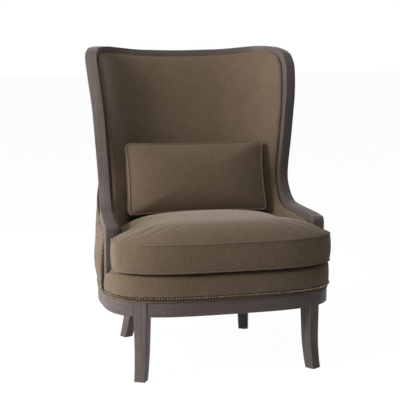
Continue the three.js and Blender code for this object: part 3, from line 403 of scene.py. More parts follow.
class NodeTree:
    """A short way to write the nodes of a material or a world."""

    def __init__(self, owner: bpy.types.Material | bpy.types.World) -> None:
        """Turns the owner's nodes on.

        Args:
            owner: The new material or world.
        """
        owner.use_nodes = True
        self.owner = owner
        self.nodes = owner.node_tree.nodes
        self.links = owner.node_tree.links

    def add(self, kind: str, values: dict[str, object] | None = None, **settings: object) -> bpy.types.Node:
        """Adds a node, sets it up and fills or links its inputs.

        Args:
            kind: The node's type, without its prefix.
            values: Input names with values, or with sockets to link.
            settings: Properties of the node.

        Returns:
            The node.
        """
        node = self.nodes.new("ShaderNode" + kind)
        for key, value in settings.items():
            setattr(node, key, value)
        for key, value in (values or {}).items():
            self.put(node.inputs[int(key) if key.isdigit() else key], value)
        return node

    def put(self, socket: bpy.types.NodeSocket, value: object) -> None:
        """Links a socket to another, or sets its value.

        Args:
            socket: The input.
            value: Another socket, or a plain value.
        """
        if isinstance(value, bpy.types.NodeSocket):
            self.links.new(value, socket)
        else:
            socket.default_value = value

    def shade(self, **inputs: object) -> None:
        """Sets inputs of the main shader, with underscores for spaces."""
        for key, value in inputs.items():
            self.put(self.nodes["Principled BSDF"].inputs[key.replace("_", " ")], value)

    def surface(self, output: str, share: object, low: object, high: object) -> None:
        """Ends the tree in a mix of two shaders, with the share of the second."""
        mix = self.add("MixShader", {"0": share, "1": low, "2": high}).outputs[0]
        self.put(self.nodes[output].inputs["Surface"], mix)

    def seen(self) -> bpy.types.NodeSocket:
        """Tells the rays that see the background from those that light the chair.

        Returns:
            One where a ray comes from the camera, a mirror or glass, and zero elsewhere.
        """
        path = self.add("LightPath").outputs
        direct = self.math("MAXIMUM", path["Is Camera Ray"], path["Is Glossy Ray"])
        return self.math("MAXIMUM", direct, path["Is Transmission Ray"])

    def noise(self, vector: object, scale: float, detail: float = 3.0, rough: float = 0.5
              ) -> bpy.types.NodeSocket:
        """A noise texture's height at a scale per metre."""
        values = {"Vector": vector, "Scale": scale, "Detail": detail, "Roughness": rough}
        return self.add("TexNoise", values).outputs["Fac"]

    def cells(self, vector: object, scale: float, randomness: float) -> bpy.types.NodeSocket:
        """The distance to the nearest of scattered cells, at a scale per metre."""
        values = {"Vector": vector, "Scale": scale, "Randomness": randomness}
        return self.add("TexVoronoi", values, feature="F1").outputs["Distance"]

    def stretched(self, vector: object, scale: tuple[float, float, float]) -> bpy.types.NodeSocket:
        """Coordinates with a scale of their own on each axis."""
        return self.add("Mapping", {"Vector": vector, "Scale": scale}).outputs["Vector"]

    def blend(self, factor: object, low: Sequence[float], high: Sequence[float]) -> bpy.types.NodeSocket:
        """A colour between two.

        Args:
            factor: The share of the second.
            low: The first colour.
            high: The second colour.

        Returns:
            The colour's socket.
        """
        node = self.add("Mix", data_type="RGBA")
        self.put(node.inputs[0], factor)
        for index, colour in ((6, low), (7, high)):
            self.put(node.inputs[index], colour if isinstance(colour, bpy.types.NodeSocket) else (*colour, 1))
        return node.outputs[2]

    def ramp(self, factor: object, low: float, high: float, out_low: float = 0.0, out_high: float = 1.0
             ) -> bpy.types.NodeSocket:
        """A clamped linear map of a value."""
        values = {"Value": factor, "From Min": low, "From Max": high, "To Min": out_low, "To Max": out_high}
        return self.add("MapRange", values).outputs["Result"]

    def layer(self, base: object, mask: object, low: float, high: float, share: float, colour: Sequence[float]
              ) -> bpy.types.NodeSocket:
        """Lays a colour over a base where a mask goes from low to high, up to a share."""
        return self.blend(self.ramp(mask, low, high, 0.0, share), base, colour)

    def math(self, operation: str, first: object, second: object = 0.5) -> bpy.types.NodeSocket:
        """One arithmetic step."""
        return self.add("Math", {"0": first, "1": second}, operation=operation).outputs["Value"]

    def scaled(self, value: object, factor: float) -> bpy.types.NodeSocket:
        """A value times a factor."""
        return self.math("MULTIPLY", value, factor)

    def bump(self, height: object, distance: float, strength: float) -> bpy.types.NodeSocket:
        """A bump of a real height in metres."""
        values = {"Height": height, "Distance": distance, "Strength": strength}
        return self.add("Bump", values).outputs["Normal"]


@dataclass(frozen=True)
class FabricFinish:
    """Matt chenille: short pile over a fine plain weave, a little lighter where it catches light."""

    name: str
    colour: tuple[float, float, float] = (0.180, 0.129, 0.085)
    deep: tuple[float, float, float] = (0.100, 0.068, 0.043)
    pale: tuple[float, float, float] = (0.244, 0.181, 0.124)
    fleck: tuple[float, float, float] = (0.36, 0.245, 0.150)
    yarn: float = 620.0
    sheen: float = 0.50
    threads: tuple[float, float, float] = (230.0, 230.0, 16.0)
    sheen_tint: tuple[float, float, float] = (0.88, 0.79, 0.70)

    def make(self) -> bpy.types.Material:
        """Builds the material: slubs and yarn lumps in Object coordinates, with a fine bump.

        Returns:
            The material.
        """
        tree = NodeTree(bpy.data.materials.new(self.name))
        where = tree.add("TexCoord").outputs["Object"]
        cells = tree.cells(where, self.yarn, 0.75)
        fluff = tree.noise(where, self.yarn * 1.6, 2.0, 0.6)
        threads = tree.stretched(where, self.threads)
        slub = tree.math("ADD", tree.scaled(tree.noise(where, 150.0, 4.0, 0.7), 0.5),
                         tree.scaled(tree.noise(threads, 1.0, 3.0, 0.6), 0.5))
        cloud = tree.noise(where, 14.0, 4.0, 0.6)
        speck = tree.noise(where, 170.0, 1.0, 0.4)
        lump = tree.math("ADD", tree.scaled(cells, -0.8), tree.scaled(fluff, 0.6))
        base = tree.layer(self.colour, slub, 0.36, 0.64, 1.0, self.pale)
        base = tree.layer(base, cells, 0.25, 0.75, 0.75, self.deep)
        base = tree.layer(base, cloud, 0.42, 0.62, 0.14, self.deep)
        base = tree.layer(base, speck, 0.70, 0.76, 0.65, self.fleck)
        base = tree.layer(base, speck, 0.30, 0.24, 0.7, self.deep)
        tree.shade(
            Base_Color=base,
            Roughness=0.92,
            Sheen_Weight=self.sheen,
            Sheen_Roughness=0.45,
            Sheen_Tint=(*self.sheen_tint, 1),
            Specular_IOR_Level=0.2,
            Normal=tree.bump(lump, 0.0006, 0.8),
        )
        return tree.owner


@dataclass(frozen=True)
class WoodFinish:
    """Stained and rubbed hardwood: grain along the piece, small pale flecks and worn arrises."""

    name: str
    colour: tuple[float, float, float] = (0.172, 0.141, 0.133)
    dark: tuple[float, float, float] = (0.100, 0.082, 0.077)
    worn: tuple[float, float, float] = (0.30, 0.27, 0.25)
    along_uv: bool = True
    flecks: float = 1.0
    rough: float = 0.42

    def make(self) -> bpy.types.Material:
        """Builds the material: stretched noise for grain, thresholded noise for flecks.

        Returns:
            The material.
        """
        tree = NodeTree(bpy.data.materials.new(self.name))
        texture = tree.add("TexCoord").outputs
        where = texture["Object"]
        source = texture["UV"] if self.along_uv else where
        stretch = (5.0, 120.0, 1.0) if self.along_uv else (120.0, 120.0, 6.0)
        grain = tree.noise(tree.stretched(source, stretch), 1.0, 5.0, 0.62)
        pores = tree.noise(tree.stretched(source, tuple(4 * scale for scale in stretch)), 1.0, 2.0, 0.5)
        cloud = tree.noise(where, 14.0, 3.0, 0.55)
        tone = tree.layer(self.dark, grain, 0.3, 0.7, 1.0, self.colour)
        tone = tree.layer(tone, cloud, 0.35, 0.7, 0.35, self.dark)
        spots = tree.cells(where, 42.0, 1.0)
        sparse = tree.ramp(tree.noise(where, 23.0, 1.0), 0.52, 0.56)
        fleck = tree.math("MULTIPLY", tree.ramp(spots, 0.10, 0.055), sparse)
        scuffs = tree.ramp(tree.noise(where, 210.0, 2.0, 0.7), 0.66, 0.72)
        patchy = tree.ramp(tree.noise(where, 11.0, 2.0), 0.5, 0.62)
        wear = tree.scaled(tree.math("MULTIPLY", scuffs, patchy), 0.5)
        marks = tree.scaled(tree.math("MAXIMUM", fleck, wear), self.flecks)
        rough = tree.ramp(tree.math("ADD", grain, tree.scaled(cloud, 0.6)), 0.5, 1.1,
                          self.rough - 0.08, self.rough + 0.12)
        relief = tree.math("ADD", grain, tree.scaled(pores, 0.5))
        height = tree.math("SUBTRACT", relief, tree.scaled(marks, 0.7))
        tree.shade(
            Base_Color=tree.blend(marks, tone, self.worn),
            Roughness=rough,
            Specular_IOR_Level=0.12,
            Normal=tree.bump(height, 0.0005, 0.55),
        )
        return tree.owner


@dataclass(frozen=True)
class MetalFinish:
    """Plain or aged metal with faint mottling."""

    name: str
    colour: tuple[float, float, float]
    dark: tuple[float, float, float]
    rough: float = 0.4

    def make(self) -> bpy.types.Material:
        """Builds the material: tarnish as noise between two colours.

        Returns:
            The material.
        """
        tree = NodeTree(bpy.data.materials.new(self.name))
        where = tree.add("TexCoord").outputs["Object"]
        tarnish = tree.noise(where, 160.0, 3.0, 0.6)
        tree.shade(
            Base_Color=tree.blend(tree.ramp(tarnish, 0.35, 0.65), self.dark, self.colour),
            Metallic=1.0,
            Roughness=tree.ramp(tarnish, 0.3, 0.7, self.rough + 0.12, self.rough - 0.06),
            Normal=tree.bump(tarnish, 0.0001, 0.4),
        )
        return tree.owner


@dataclass(frozen=True)
class ClothBackFinish:
    """Thin black non-woven cloth, or dark nylon, with a faint fibre pattern."""

    name: str
    colour: tuple[float, float, float]
    rough: float = 0.95

    def make(self) -> bpy.types.Material:
        """Builds the material: fibre noise in colour and bump.

        Returns:
            The material.
        """
        tree = NodeTree(bpy.data.materials.new(self.name))
        where = tree.add("TexCoord").outputs["Object"]
        fibre = tree.noise(where, 480.0, 3.0, 0.7)
        pale = tuple(min(1.0, 1.7 * channel + 0.01) for channel in self.colour)
        tree.shade(
            Base_Color=tree.blend(tree.ramp(fibre, 0.4, 0.7), self.colour, pale),
            Roughness=self.rough,
            Normal=tree.bump(fibre, 0.0002, 0.6),
        )
        return tree.owner


@dataclass
class Finishes:
    """Every finish of the chair, made once."""

    fabric: bpy.types.Material = field(default_factory=FabricFinish("chenille").make)
    piping: bpy.types.Material = field(default_factory=FabricFinish(
        "chenille_piping", colour=(0.225, 0.172, 0.122), sheen=0.3).make)
    # A near-black cloth for painted shade: the dark strips behind the nails and the cord in the panels'
    # groove.
    braid: bpy.types.Material = field(default_factory=FabricFinish(
        "braid", (0.034, 0.025, 0.019), (0.018, 0.013, 0.010), (0.055, 0.042, 0.033), (0.08, 0.06, 0.045),
        sheen=0.05).make)
    wood: bpy.types.Material = field(default_factory=WoodFinish("stained_wood").make)
    timber: bpy.types.Material = field(default_factory=WoodFinish(
        "raw_timber", (0.50, 0.35, 0.20), (0.36, 0.23, 0.12), (0.55, 0.42, 0.28), False, 0.2, 0.75).make)
    bronze: bpy.types.Material = field(default_factory=MetalFinish(
        "aged_bronze", (0.24, 0.19, 0.145), (0.09, 0.07, 0.055), 0.24).make)
    steel: bpy.types.Material = field(default_factory=MetalFinish(
        "drawn_steel", (0.42, 0.42, 0.43), (0.25, 0.25, 0.26), 0.38).make)
    cover: bpy.types.Material = field(default_factory=ClothBackFinish(
        "dust_cloth", (0.018, 0.017, 0.017)).make)
    nylon: bpy.types.Material = field(default_factory=ClothBackFinish(
        "glide_nylon", (0.03, 0.028, 0.026), 0.5).make)


# Outlines shared by the pieces


@dataclass
class BasePlan:
    """The base in plan: a superellipse |x/a|^n + |y/b|^n = 1 with its own depth and power front and rear."""

    shift: float
    half_width: float = 0.402
    centre_y: float = -0.100
    front_depth: float = 0.252
    rear_depth: float = 0.395
    front_power: float = 3.3
    rear_power: float = 2.5

    def points(self, angle: Array, outset: Array | float, z: Array | float) -> Array:
        """Points in polar directions from the base's centre, moved out along the plan's normal.

        Args:
            angle: Polar directions, in radians.
            outset: Distance outside the plan.
            z: Height.

        Returns:
            The points, with the angle's shape and 3 in the last axis.
        """
        angle = np.asarray(angle, float)
        rear = np.sin(angle) > 0
        depth = np.where(rear, self.rear_depth, self.front_depth)
        power = np.where(rear, self.rear_power, self.front_power)
        cosine, sine = np.cos(angle), np.sin(angle)
        across = np.abs(cosine) / self.half_width
        along = np.abs(sine) / depth
        radius = (across**power + along**power) ** (-1 / power)
        slope_x = np.sign(cosine) * (across * radius) ** (power - 1) / self.half_width
        slope_y = np.sign(sine) * (along * radius) ** (power - 1) / depth
        normal = unit(np.stack([slope_x, slope_y], axis=-1))
        flat = np.stack([radius * cosine, self.centre_y + radius * sine], axis=-1)
        flat = flat + normal * np.asarray(outset, float)[..., None]
        height = np.broadcast_to(np.asarray(z, float), angle.shape)
        return np.concatenate([flat + np.array([0, self.shift]), height[..., None]], axis=-1)

    def carry(self, section: Array, start: float, end: float, steps: int) -> Array:
        """Carries a section along the plan.

        Args:
            section: Outset and height in the last axis, for every place or for each of them.
            start: First direction.
            end: Last direction.
            steps: Number of spans.

        Returns:
            Rows by section points by 3.
        """
        angle = np.linspace(start, end, steps + 1)[:, None] + np.zeros((1, section.shape[-2]))
        outset, height = np.broadcast_to(section, (*angle.shape, 2)).transpose(2, 0, 1)
        return self.points(angle, outset, height)

    def direction(self, x: float, y: float) -> float:
        """Polar direction of a place given before the frame's shift in Y."""
        return math.atan2(y - self.centre_y, x)

    def even(self, start: float, end: float, spacing: float, outset: float, z: float) -> Array:
        """An evenly spaced line along the plan, between two directions."""
        return resample(self.points(np.linspace(start, end, 600), outset, z), spacing)


# Outer edge of the rim from the arm to the middle of the crest: shares of the half width,
# the depth and the height of the rim, and of a quarter turn for its face.
RIM_SHARES = np.array([
    (0.982, 0.067, 0.288, 0.045),
    (0.975, 0.116, 0.293, 0.05),
    (0.94, 0.356, 0.309, 0.07),
    (0.926, 0.42, 0.325, 0.12),
    (0.92, 0.466, 0.355, 0.17),
    (0.915, 0.503, 0.404, 0.2),
    (0.92, 0.512, 0.467, 0.2),
    (0.942, 0.503, 0.594, 0.2),
    (0.963, 0.5, 0.72, 0.2),
    (0.977, 0.508, 0.784, 0.2),
    (0.99, 0.53, 0.848, 0.2),
    (0.999, 0.561, 0.911, 0.2),
    (0.998, 0.596, 0.943, 0.2),
    (0.989, 0.631, 0.967, 0.21),
    (0.963, 0.685, 0.984, 0.28),
    (0.915, 0.768, 0.996, 0.4),
    (0.799, 0.864, 1.0, 0.6),
    (0.657, 0.923, 0.995, 0.73),
    (0.455, 0.968, 0.986, 0.86),
    (0.236, 0.993, 0.982, 0.94),
    (0, 1, 0.98, 1),
])


@dataclass
class Rim:
    """The show-wood rim's line: a smooth cubic curve through the outline's points, both sides."""

    shift: float
    half_width: float = 0.402
    front_y: float = -0.168
    depth: float = 0.596
    base_z: float = 0.274
    height: float = 0.844
    face: float = 0.043
    thickness: float = 0.040
    arris: float = 0.0032
    waist: float = 5.0
    shoulder: float = 14.5

    def __post_init__(self) -> None:
        """Works out the curve's points and turns for both sides."""
        scale = np.array([self.half_width, self.depth, self.height])
        right = RIM_SHARES[:, :3] * scale + np.array([0, self.front_y + self.shift, self.base_z])
        turns = RIM_SHARES[:, 3]
        self.knots = np.vstack([right, mirror_x(right[-2::-1])])
        self.turns = np.concatenate([turns, 2 - turns[-2::-1]])
        self.spans = len(self.knots) - 1

    def read(self, values: Array, place: Array) -> Array:
        """Cubic interpolation between knots, with half the neighbours' difference as each knot's slope.

        Args:
            values: Knot values, n or n by k.
            place: Where to read, counted in knots.

        Returns:
            The values there.
        """
        table = values.reshape(len(values), -1)
        table = np.vstack([2 * table[0] - table[1], table, 2 * table[-1] - table[-2]])
        place = np.clip(np.asarray(place, float), 0, self.spans)
        index = np.minimum(place.astype(int), self.spans - 1)
        part = (place - index)[:, None]
        p0, p1, p2, p3 = (table[index + k] for k in range(4))
        t0, t1 = 0.5 * (p2 - p0), 0.5 * (p3 - p1)
        square, cube = 3 * (p2 - p1) - 2 * t0 - t1, 2 * (p1 - p2) + t0 + t1
        result = p1 + t0 * part + square * part**2 + cube * part**3
        return result.reshape((len(place),) + values.shape[1:])

    def stations(self, place: Array) -> tuple[Array, Array, Array, Array]:
        """The rim's line, tangent, outward direction and depth direction at places along it.

        Args:
            place: Places, counted in knots.

        Returns:
            Origins, tangents, outward and deep directions, each n by 3.
        """
        step = 0.004
        origin = self.read(self.knots, place)
        tangent = unit(self.read(self.knots, place + step) - self.read(self.knots, place - step))
        turn = self.read(self.turns, place) * math.pi / 2
        outward = np.stack([np.cos(turn), np.sin(turn), np.zeros(len(turn))], axis=1)
        outward = unit(outward - tangent * np.sum(outward * tangent, axis=1, keepdims=True))
        return origin, tangent, outward, unit(np.cross(tangent, outward))

    def section(self) -> Array:
        """The rim's section with rounded arrises, as inward and deep distances."""
        return rounded_rectangle(self.face, self.thickness, self.arris, 4)

    def sweep(self, start: float, end: float, steps: int) -> Array:
        """The rim's surface between two places: origin - across * outward + down * deep.

        Args:
            start: First place.
            end: Last place.
            steps: Number of spans.

        Returns:
            Rows by section points by 3.
        """
        places = np.linspace(start, end, steps + 1)
        origin, _, outward, deep = (lines[:, None] for lines in self.stations(places))
        across, down = (distance[None, :, None] for distance in self.section().T)
        return origin - across * outward + down * deep

    def edge(self, start: float, end: float, count: int, across: float, down: float) -> Array:
        """Points a distance across, inwards from the rim's outer edge, and down, behind its face."""
        origin, _, outward, deep = self.stations(np.linspace(start, end, count))
        return origin - across * outward + down * deep


def rounded_rectangle(width: float, height: float, radius: float, steps: int) -> Array:
    """A rectangle from the origin with quarter-round corners.

    Args:
        width: Size along the first axis.
        height: Size along the second axis.
        radius: Corner radius.
        steps: Spans in each corner.

    Returns:
        The outline, counted round once.
    """
    centres = [(width - radius, height - radius, 0), (radius, height - radius, 90),
               (radius, radius, 180), (width - radius, radius, 270)]
    outline = []
    for x, y, start in centres:
        turn = np.radians(start + np.linspace(0, 90, steps + 1))
        outline.append(np.stack([x + radius * np.cos(turn), y + radius * np.sin(turn)], axis=1))
    return np.concatenate(outline)


@dataclass
class Wall:
    """The upholstered wall: plan lines at the rail, the waist and the crest, blended by height.

    A place on the wall is a share of its length from the arm post, 0, to the middle of the
    back, 1, and past it to the other post, 2.
    """

    plan: BasePlan
    rim: Rim
    centre_y: float = 0.130
    waist_power: float = 2.1
    crest_power: float = 2.6
    rail_top: float = 0.274
    waist_z: float = 0.575
    crest_z: float = 1.101
    waist: tuple[float, float, float] = (0.367, 0.343, 0.024)
    crest: tuple[float, float, float] = (0.400, 0.427, 0.004)
    seat_level: float = 0.480
    seat: tuple[float, float, float] = (0.318, 0.186, 0.026)
    seat_centre_y: float = -0.020
    seat_power: float = 2.5
    welt: float = 0.009
    setback: float = 0.026
    edge_padding: float = 0.005
    crest_padding: float = 0.022
    roll: float = 0.070
    bulge: float = 0.0195
    swell_top: float = 0.630
    swell_power: float = 0.85
    swell_rear_power: float = 1.7
    swell_edge: float = 0.09
    flattening: float = 0.6
    tuck: float = 0.003
    upper_tuck: float = 0.016
    tuck_range: tuple[float, float] = (0.28, 0.58)
    tuck_rise: tuple[float, float] = (-0.005, 0.09)
    front_power: float = 0.2
    front_width: float = 0.06
    seam: float = 0.6
    lead_drop: float = 0.001
    corner_drop: float = 0.014
    row_bias: float = 1.35

    def __post_init__(self) -> None:
        """Tabulates the plan lines and the rim's lines on the wall."""
        self.front_y = self.rim.front_y + self.rim.thickness
        self.bottom = self.rail_top + self.welt + 2 * JOINT_GAP
        start = self.plan.direction(self.plan.half_width, self.front_y)
        base = self.plan.points(np.linspace(start, math.pi / 2, 600), 0.0, 0.0)[:, :2]
        self.lines = {
            "rail": base - np.array([0, self.plan.shift]),
            "waist": self.half_line(self.waist, self.centre_y, self.waist_power),
            "crest": self.half_line(self.crest, self.centre_y, self.crest_power),
            "seat": self.half_line(self.seat, self.seat_centre_y, self.seat_power),
        }
        self.fabric_edge = self.trace(self.setback, self.rim.face)
        self.panel_edge = self.trace(self.rim.thickness + SEAM_GAP, 0.0)
        order = np.argsort(self.panel_edge[:, 0], kind="stable")
        places = np.linspace(0.0, 1.0, 401)
        tops = np.minimum(self.swell_top, np.interp(places, *self.panel_edge[order, :2].T))
        reach = 20
        tops = np.concatenate([np.full(reach, tops[0]), tops, np.full(reach, tops[-1])])
        window = 2 * reach + 1
        self.swell_line = places, np.convolve(tops, np.ones(window) / window, mode="valid")

    def before_posts(self, gap: float = JOINT_GAP) -> float:
        """Direction on the base plan that lies a gap in front of the right post."""
        return self.plan.direction(self.plan.half_width, self.rim.front_y - gap)

    def half_line(self, sizes: tuple[float, float, float], centre_y: float, power: float) -> Array:
        """A straight front part that flares and a superellipse quarter behind it.

        Args:
            sizes: Half width, rearmost Y and flare.
            centre_y: Where the quarter starts.
            power: The quarter's power.

        Returns:
            The line in plan.
        """
        half_width, rear_y, flare = sizes
        share = np.linspace(0, 1, 120, endpoint=False)
        front_y = self.front_y + (centre_y - self.front_y) * share
        front = np.stack([half_width + flare * (1 - share), front_y], axis=1)
        angle = np.linspace(0, math.pi / 2, 500)
        cosine, sine = np.cos(angle), np.sin(angle)
        radius = (cosine**power + sine**power) ** (-1 / power)
        quarter_y = centre_y + (rear_y - centre_y) * radius * sine
        quarter = np.stack([half_width * radius * cosine, quarter_y], axis=1)
        return np.vstack([front, quarter])

    def read_line(self, name: str, share: Array) -> Array:
        """Points of a plan line by share of its length.

        Args:
            name: The line's name.
            share: Shares from 0 to 1.

        Returns:
            Points with 2 in the last axis.
        """
        line = self.lines[name]
        lengths = arc_lengths(line)
        wanted = np.clip(share, 0, 1) * lengths[-1]
        return np.stack([np.interp(wanted, lengths, line[:, axis]) for axis in (0, 1)], axis=-1)

    def outer(self, share: Array, z: Array) -> Array:
        """The wall's outer reference face for shares from 0 to 1.

        Args:
            share: Places along the wall.
            z: Heights, of the same shape.

        Returns:
            Points with 3 in the last axis.
        """
        rail, waist, crest = (self.read_line(name, share) for name in ("rail", "waist", "crest"))
        rise = (z - self.rail_top) / (self.waist_z - self.rail_top)
        low = (smooth(z, self.rail_top, self.waist_z) + np.clip(rise, 0, 1)) / 2
        high = np.maximum(0, (z - self.waist_z) / (self.crest_z - self.waist_z))
        flat = rail + (waist - rail) * low[..., None] + (crest - waist) * high[..., None]
        return np.concatenate([flat + np.array([0, self.plan.shift]), z[..., None]], axis=-1)

    def normal(self, share: Array, z: Array) -> Array:
        """The wall's outward direction in plan, as the level normal of its plan line.

        Args:
            share: Places along the wall, from 0 to 1.
            z: Heights.

        Returns:
            Unit vectors.
        """
        step = 0.01
        along = self.outer(np.minimum(1, share + step), z) - self.outer(np.maximum(0, share - step), z)
        normal = unit(np.stack([along[..., 1], -along[..., 0], np.zeros(along.shape[:-1])], axis=-1))
        middle = smooth(share, 1 - 2 * step, 1)[..., None]
        return unit(normal * (1 - middle) + np.array([0.0, 1.0, 0.0]) * middle)

    def trace(self, setback: float, across: float) -> Array:
        """The line on the wall that lies a setback behind the rim's face.

        Args:
            setback: Distance behind the face.
            across: Distance inwards from the rim's outer edge, which is also the wall face's.

        Returns:
            Rows of share, height and Y, from the post to the middle of the back.
        """
        half = self.rim.spans / 2
        line = self.rim.edge(0, half, 420, across, setback)
        lead = line[0].copy()
        lead[1:] = self.front_y + self.plan.shift, self.rim.knots[0, 2] - setback - self.lead_drop
        line = np.vstack([lead, line[line[:, 1] > lead[1] + LEAST_STEP]])
        grid = np.linspace(0, 1, 801)
        shares = np.empty(len(line))
        for i, (x, y, z) in enumerate(line):
            level = np.full(len(grid), z)
            face = self.outer(grid, level) - across * self.normal(grid, level)
            shares[i] = grid[np.argmin((face[:, 0] - x) ** 2 + (face[:, 1] - y) ** 2)]
        shares[0], shares[-1] = 0.0, 1.0
        kernel = np.ones(9) / 9
        shares[4:-4] = np.convolve(shares, kernel, mode="valid")
        return np.stack([shares, line[:, 2], line[:, 1]], axis=1)

    def rows(self, edge: Array, bottom: float, count: int) -> tuple[Array, Array, Callable[[Array], Array]]:
        """Row levels from the wall's foot to the crest, and where each row meets the rim in front.

        Args:
            edge: A traced line.
            bottom: Height of the lowest row.
            count: Number of rows.

        Returns:
            Row shares from 0 to 1, the wall share where each row starts, and the height of the
            top row by wall share.
        """
        corner = int(np.argmax(edge[:, 1] > edge[:, 1].max() - self.corner_drop))
        top_share, top_z = edge[corner:, 0], edge[corner:, 1]
        order = np.argsort(top_share)
        top_share, top_z = top_share[order], top_z[order]

        def crest(share: Array) -> Array:
            """Height of the top row."""
            return np.interp(share, top_share, top_z)

        level = (edge[: corner + 1, 1] - bottom) / (crest(edge[: corner + 1, 0]) - bottom)
        level = np.maximum.accumulate(level)
        level[-1] = 1.0
        near = 1 - (1 - np.linspace(0, 1, count)) ** self.row_bias
        start = np.interp(near, level, edge[: corner + 1, 0])
        start[near <= level[0]] = 0.0
        return near, start, crest

    def distance_to(self, edge: Array, y: Array, z: Array) -> Array:
        """Distance in the side view, from places and heights to a traced line."""
        targets = np.column_stack([edge[:, 2], edge[:, 1], np.zeros(len(edge))])
        return distances(np.column_stack([y.ravel(), z.ravel(), np.zeros(y.size)]), targets).reshape(y.shape)

    def inside(self, share: Array, z: Array) -> Array:
        """The padded face of the barrel for shares from 0 to 1.

        The padding swells from its edge along a quarter circle: depth = edge + (full - edge) *
        sqrt(1 - (1 - d)^2), where d is the distance from the edge over the roll's width.

        Args:
            share: Places along the wall.
            z: Heights.

        Returns:
            Points with 3 in the last axis.
        """
        normal = self.normal(share, z)
        back = self.outer(share, z) - normal * (self.rim.face + JOINT_GAP)
        rise = np.clip((z - self.seat_level) / (self.crest_z - self.seat_level), 0, 1) ** 0.9
        seat = self.read_line("seat", share) + np.array([0, self.plan.shift])
        low = np.concatenate([seat, z[..., None]], axis=-1)
        high = self.outer(share, z) - normal * (self.rim.face + self.crest_padding)
        full = low + (high - low) * rise[..., None]
        padding = np.linalg.norm(full - back, axis=-1)
        away = self.distance_to(self.fabric_edge, back[..., 1], z)
        spread = np.minimum(1, away / (self.roll + padding / 2))
        swell = np.sqrt(1 - (1 - spread) ** 2)
        reach = self.edge_padding + (padding - self.edge_padding) * swell
        return back + (full - back) * (reach / np.maximum(padding, 1e-6))[..., None]

    def outside(self, share: Array, z: Array, outset: float = 0.0) -> Array:
        """The stuffed outside face for shares from 0 to 1, moved out by an outset.

        The swell is bulge * fullness * sin(pi * rise)^power - tuck * rise, from the foot to the swell
        line. Its power is small beside the post, where the stuffing fills the corners, and grows
        towards the back, where it is softer. The fullness rises from the post along a quarter circle.
        Above the waist the cover is also drawn in by the upper tuck, round the sides only.

        Args:
            share: Places along the wall.
            z: Heights.
            outset: Distance outside the face.

        Returns:
            Points with 3 in the last axis.
        """
        line = np.interp(share, *self.swell_line)
        rise = np.clip((z - self.bottom) / (line - self.bottom), 0, 1)
        filled = smooth(share, 0.0, self.front_width)
        power = self.front_power + (self.swell_power - self.front_power) * filled
        power = power + (self.swell_rear_power - self.swell_power) * np.minimum(1, 2 * share)
        edge = 1 - np.minimum(1, share / self.swell_edge)
        fullness = np.sqrt(1 - edge**2) * (1 - self.flattening * share**2)
        swell = self.bulge * fullness * np.sin(math.pi * rise) ** power - self.tuck * rise
        beside = 1 - smooth(share, *self.tuck_range)
        above = smooth(z, *(self.waist_z + offset for offset in self.tuck_rise))
        swell -= self.upper_tuck * beside * above
        return self.outer(share, z) + self.normal(share, z) * (swell + outset)[..., None]

    def covers(self, share: Array, z: Array, *outsets: float) -> list[Array]:
        """The outside face for shares from 0 to 2, once for each outset."""
        return [both_sides(lambda s, h: self.outside(s, h, outset), share, z) for outset in outsets]


def both_sides(face: Callable[[Array, Array], Array], share: Array, z: Array) -> Array:
    """Reads a face of the wall for shares from 0 to 2.

    Args:
        face: A function of share and height for one side.
        share: Places along the whole wall.
        z: Heights.

    Returns:
        Points with 3 in the last axis.
    """
    points = face(np.where(share > 1, 2 - share, share), z)
    sign = np.where(share > 1, -1.0, 1.0)
    points[..., 0] *= sign
    return points


# Sub-assemblies


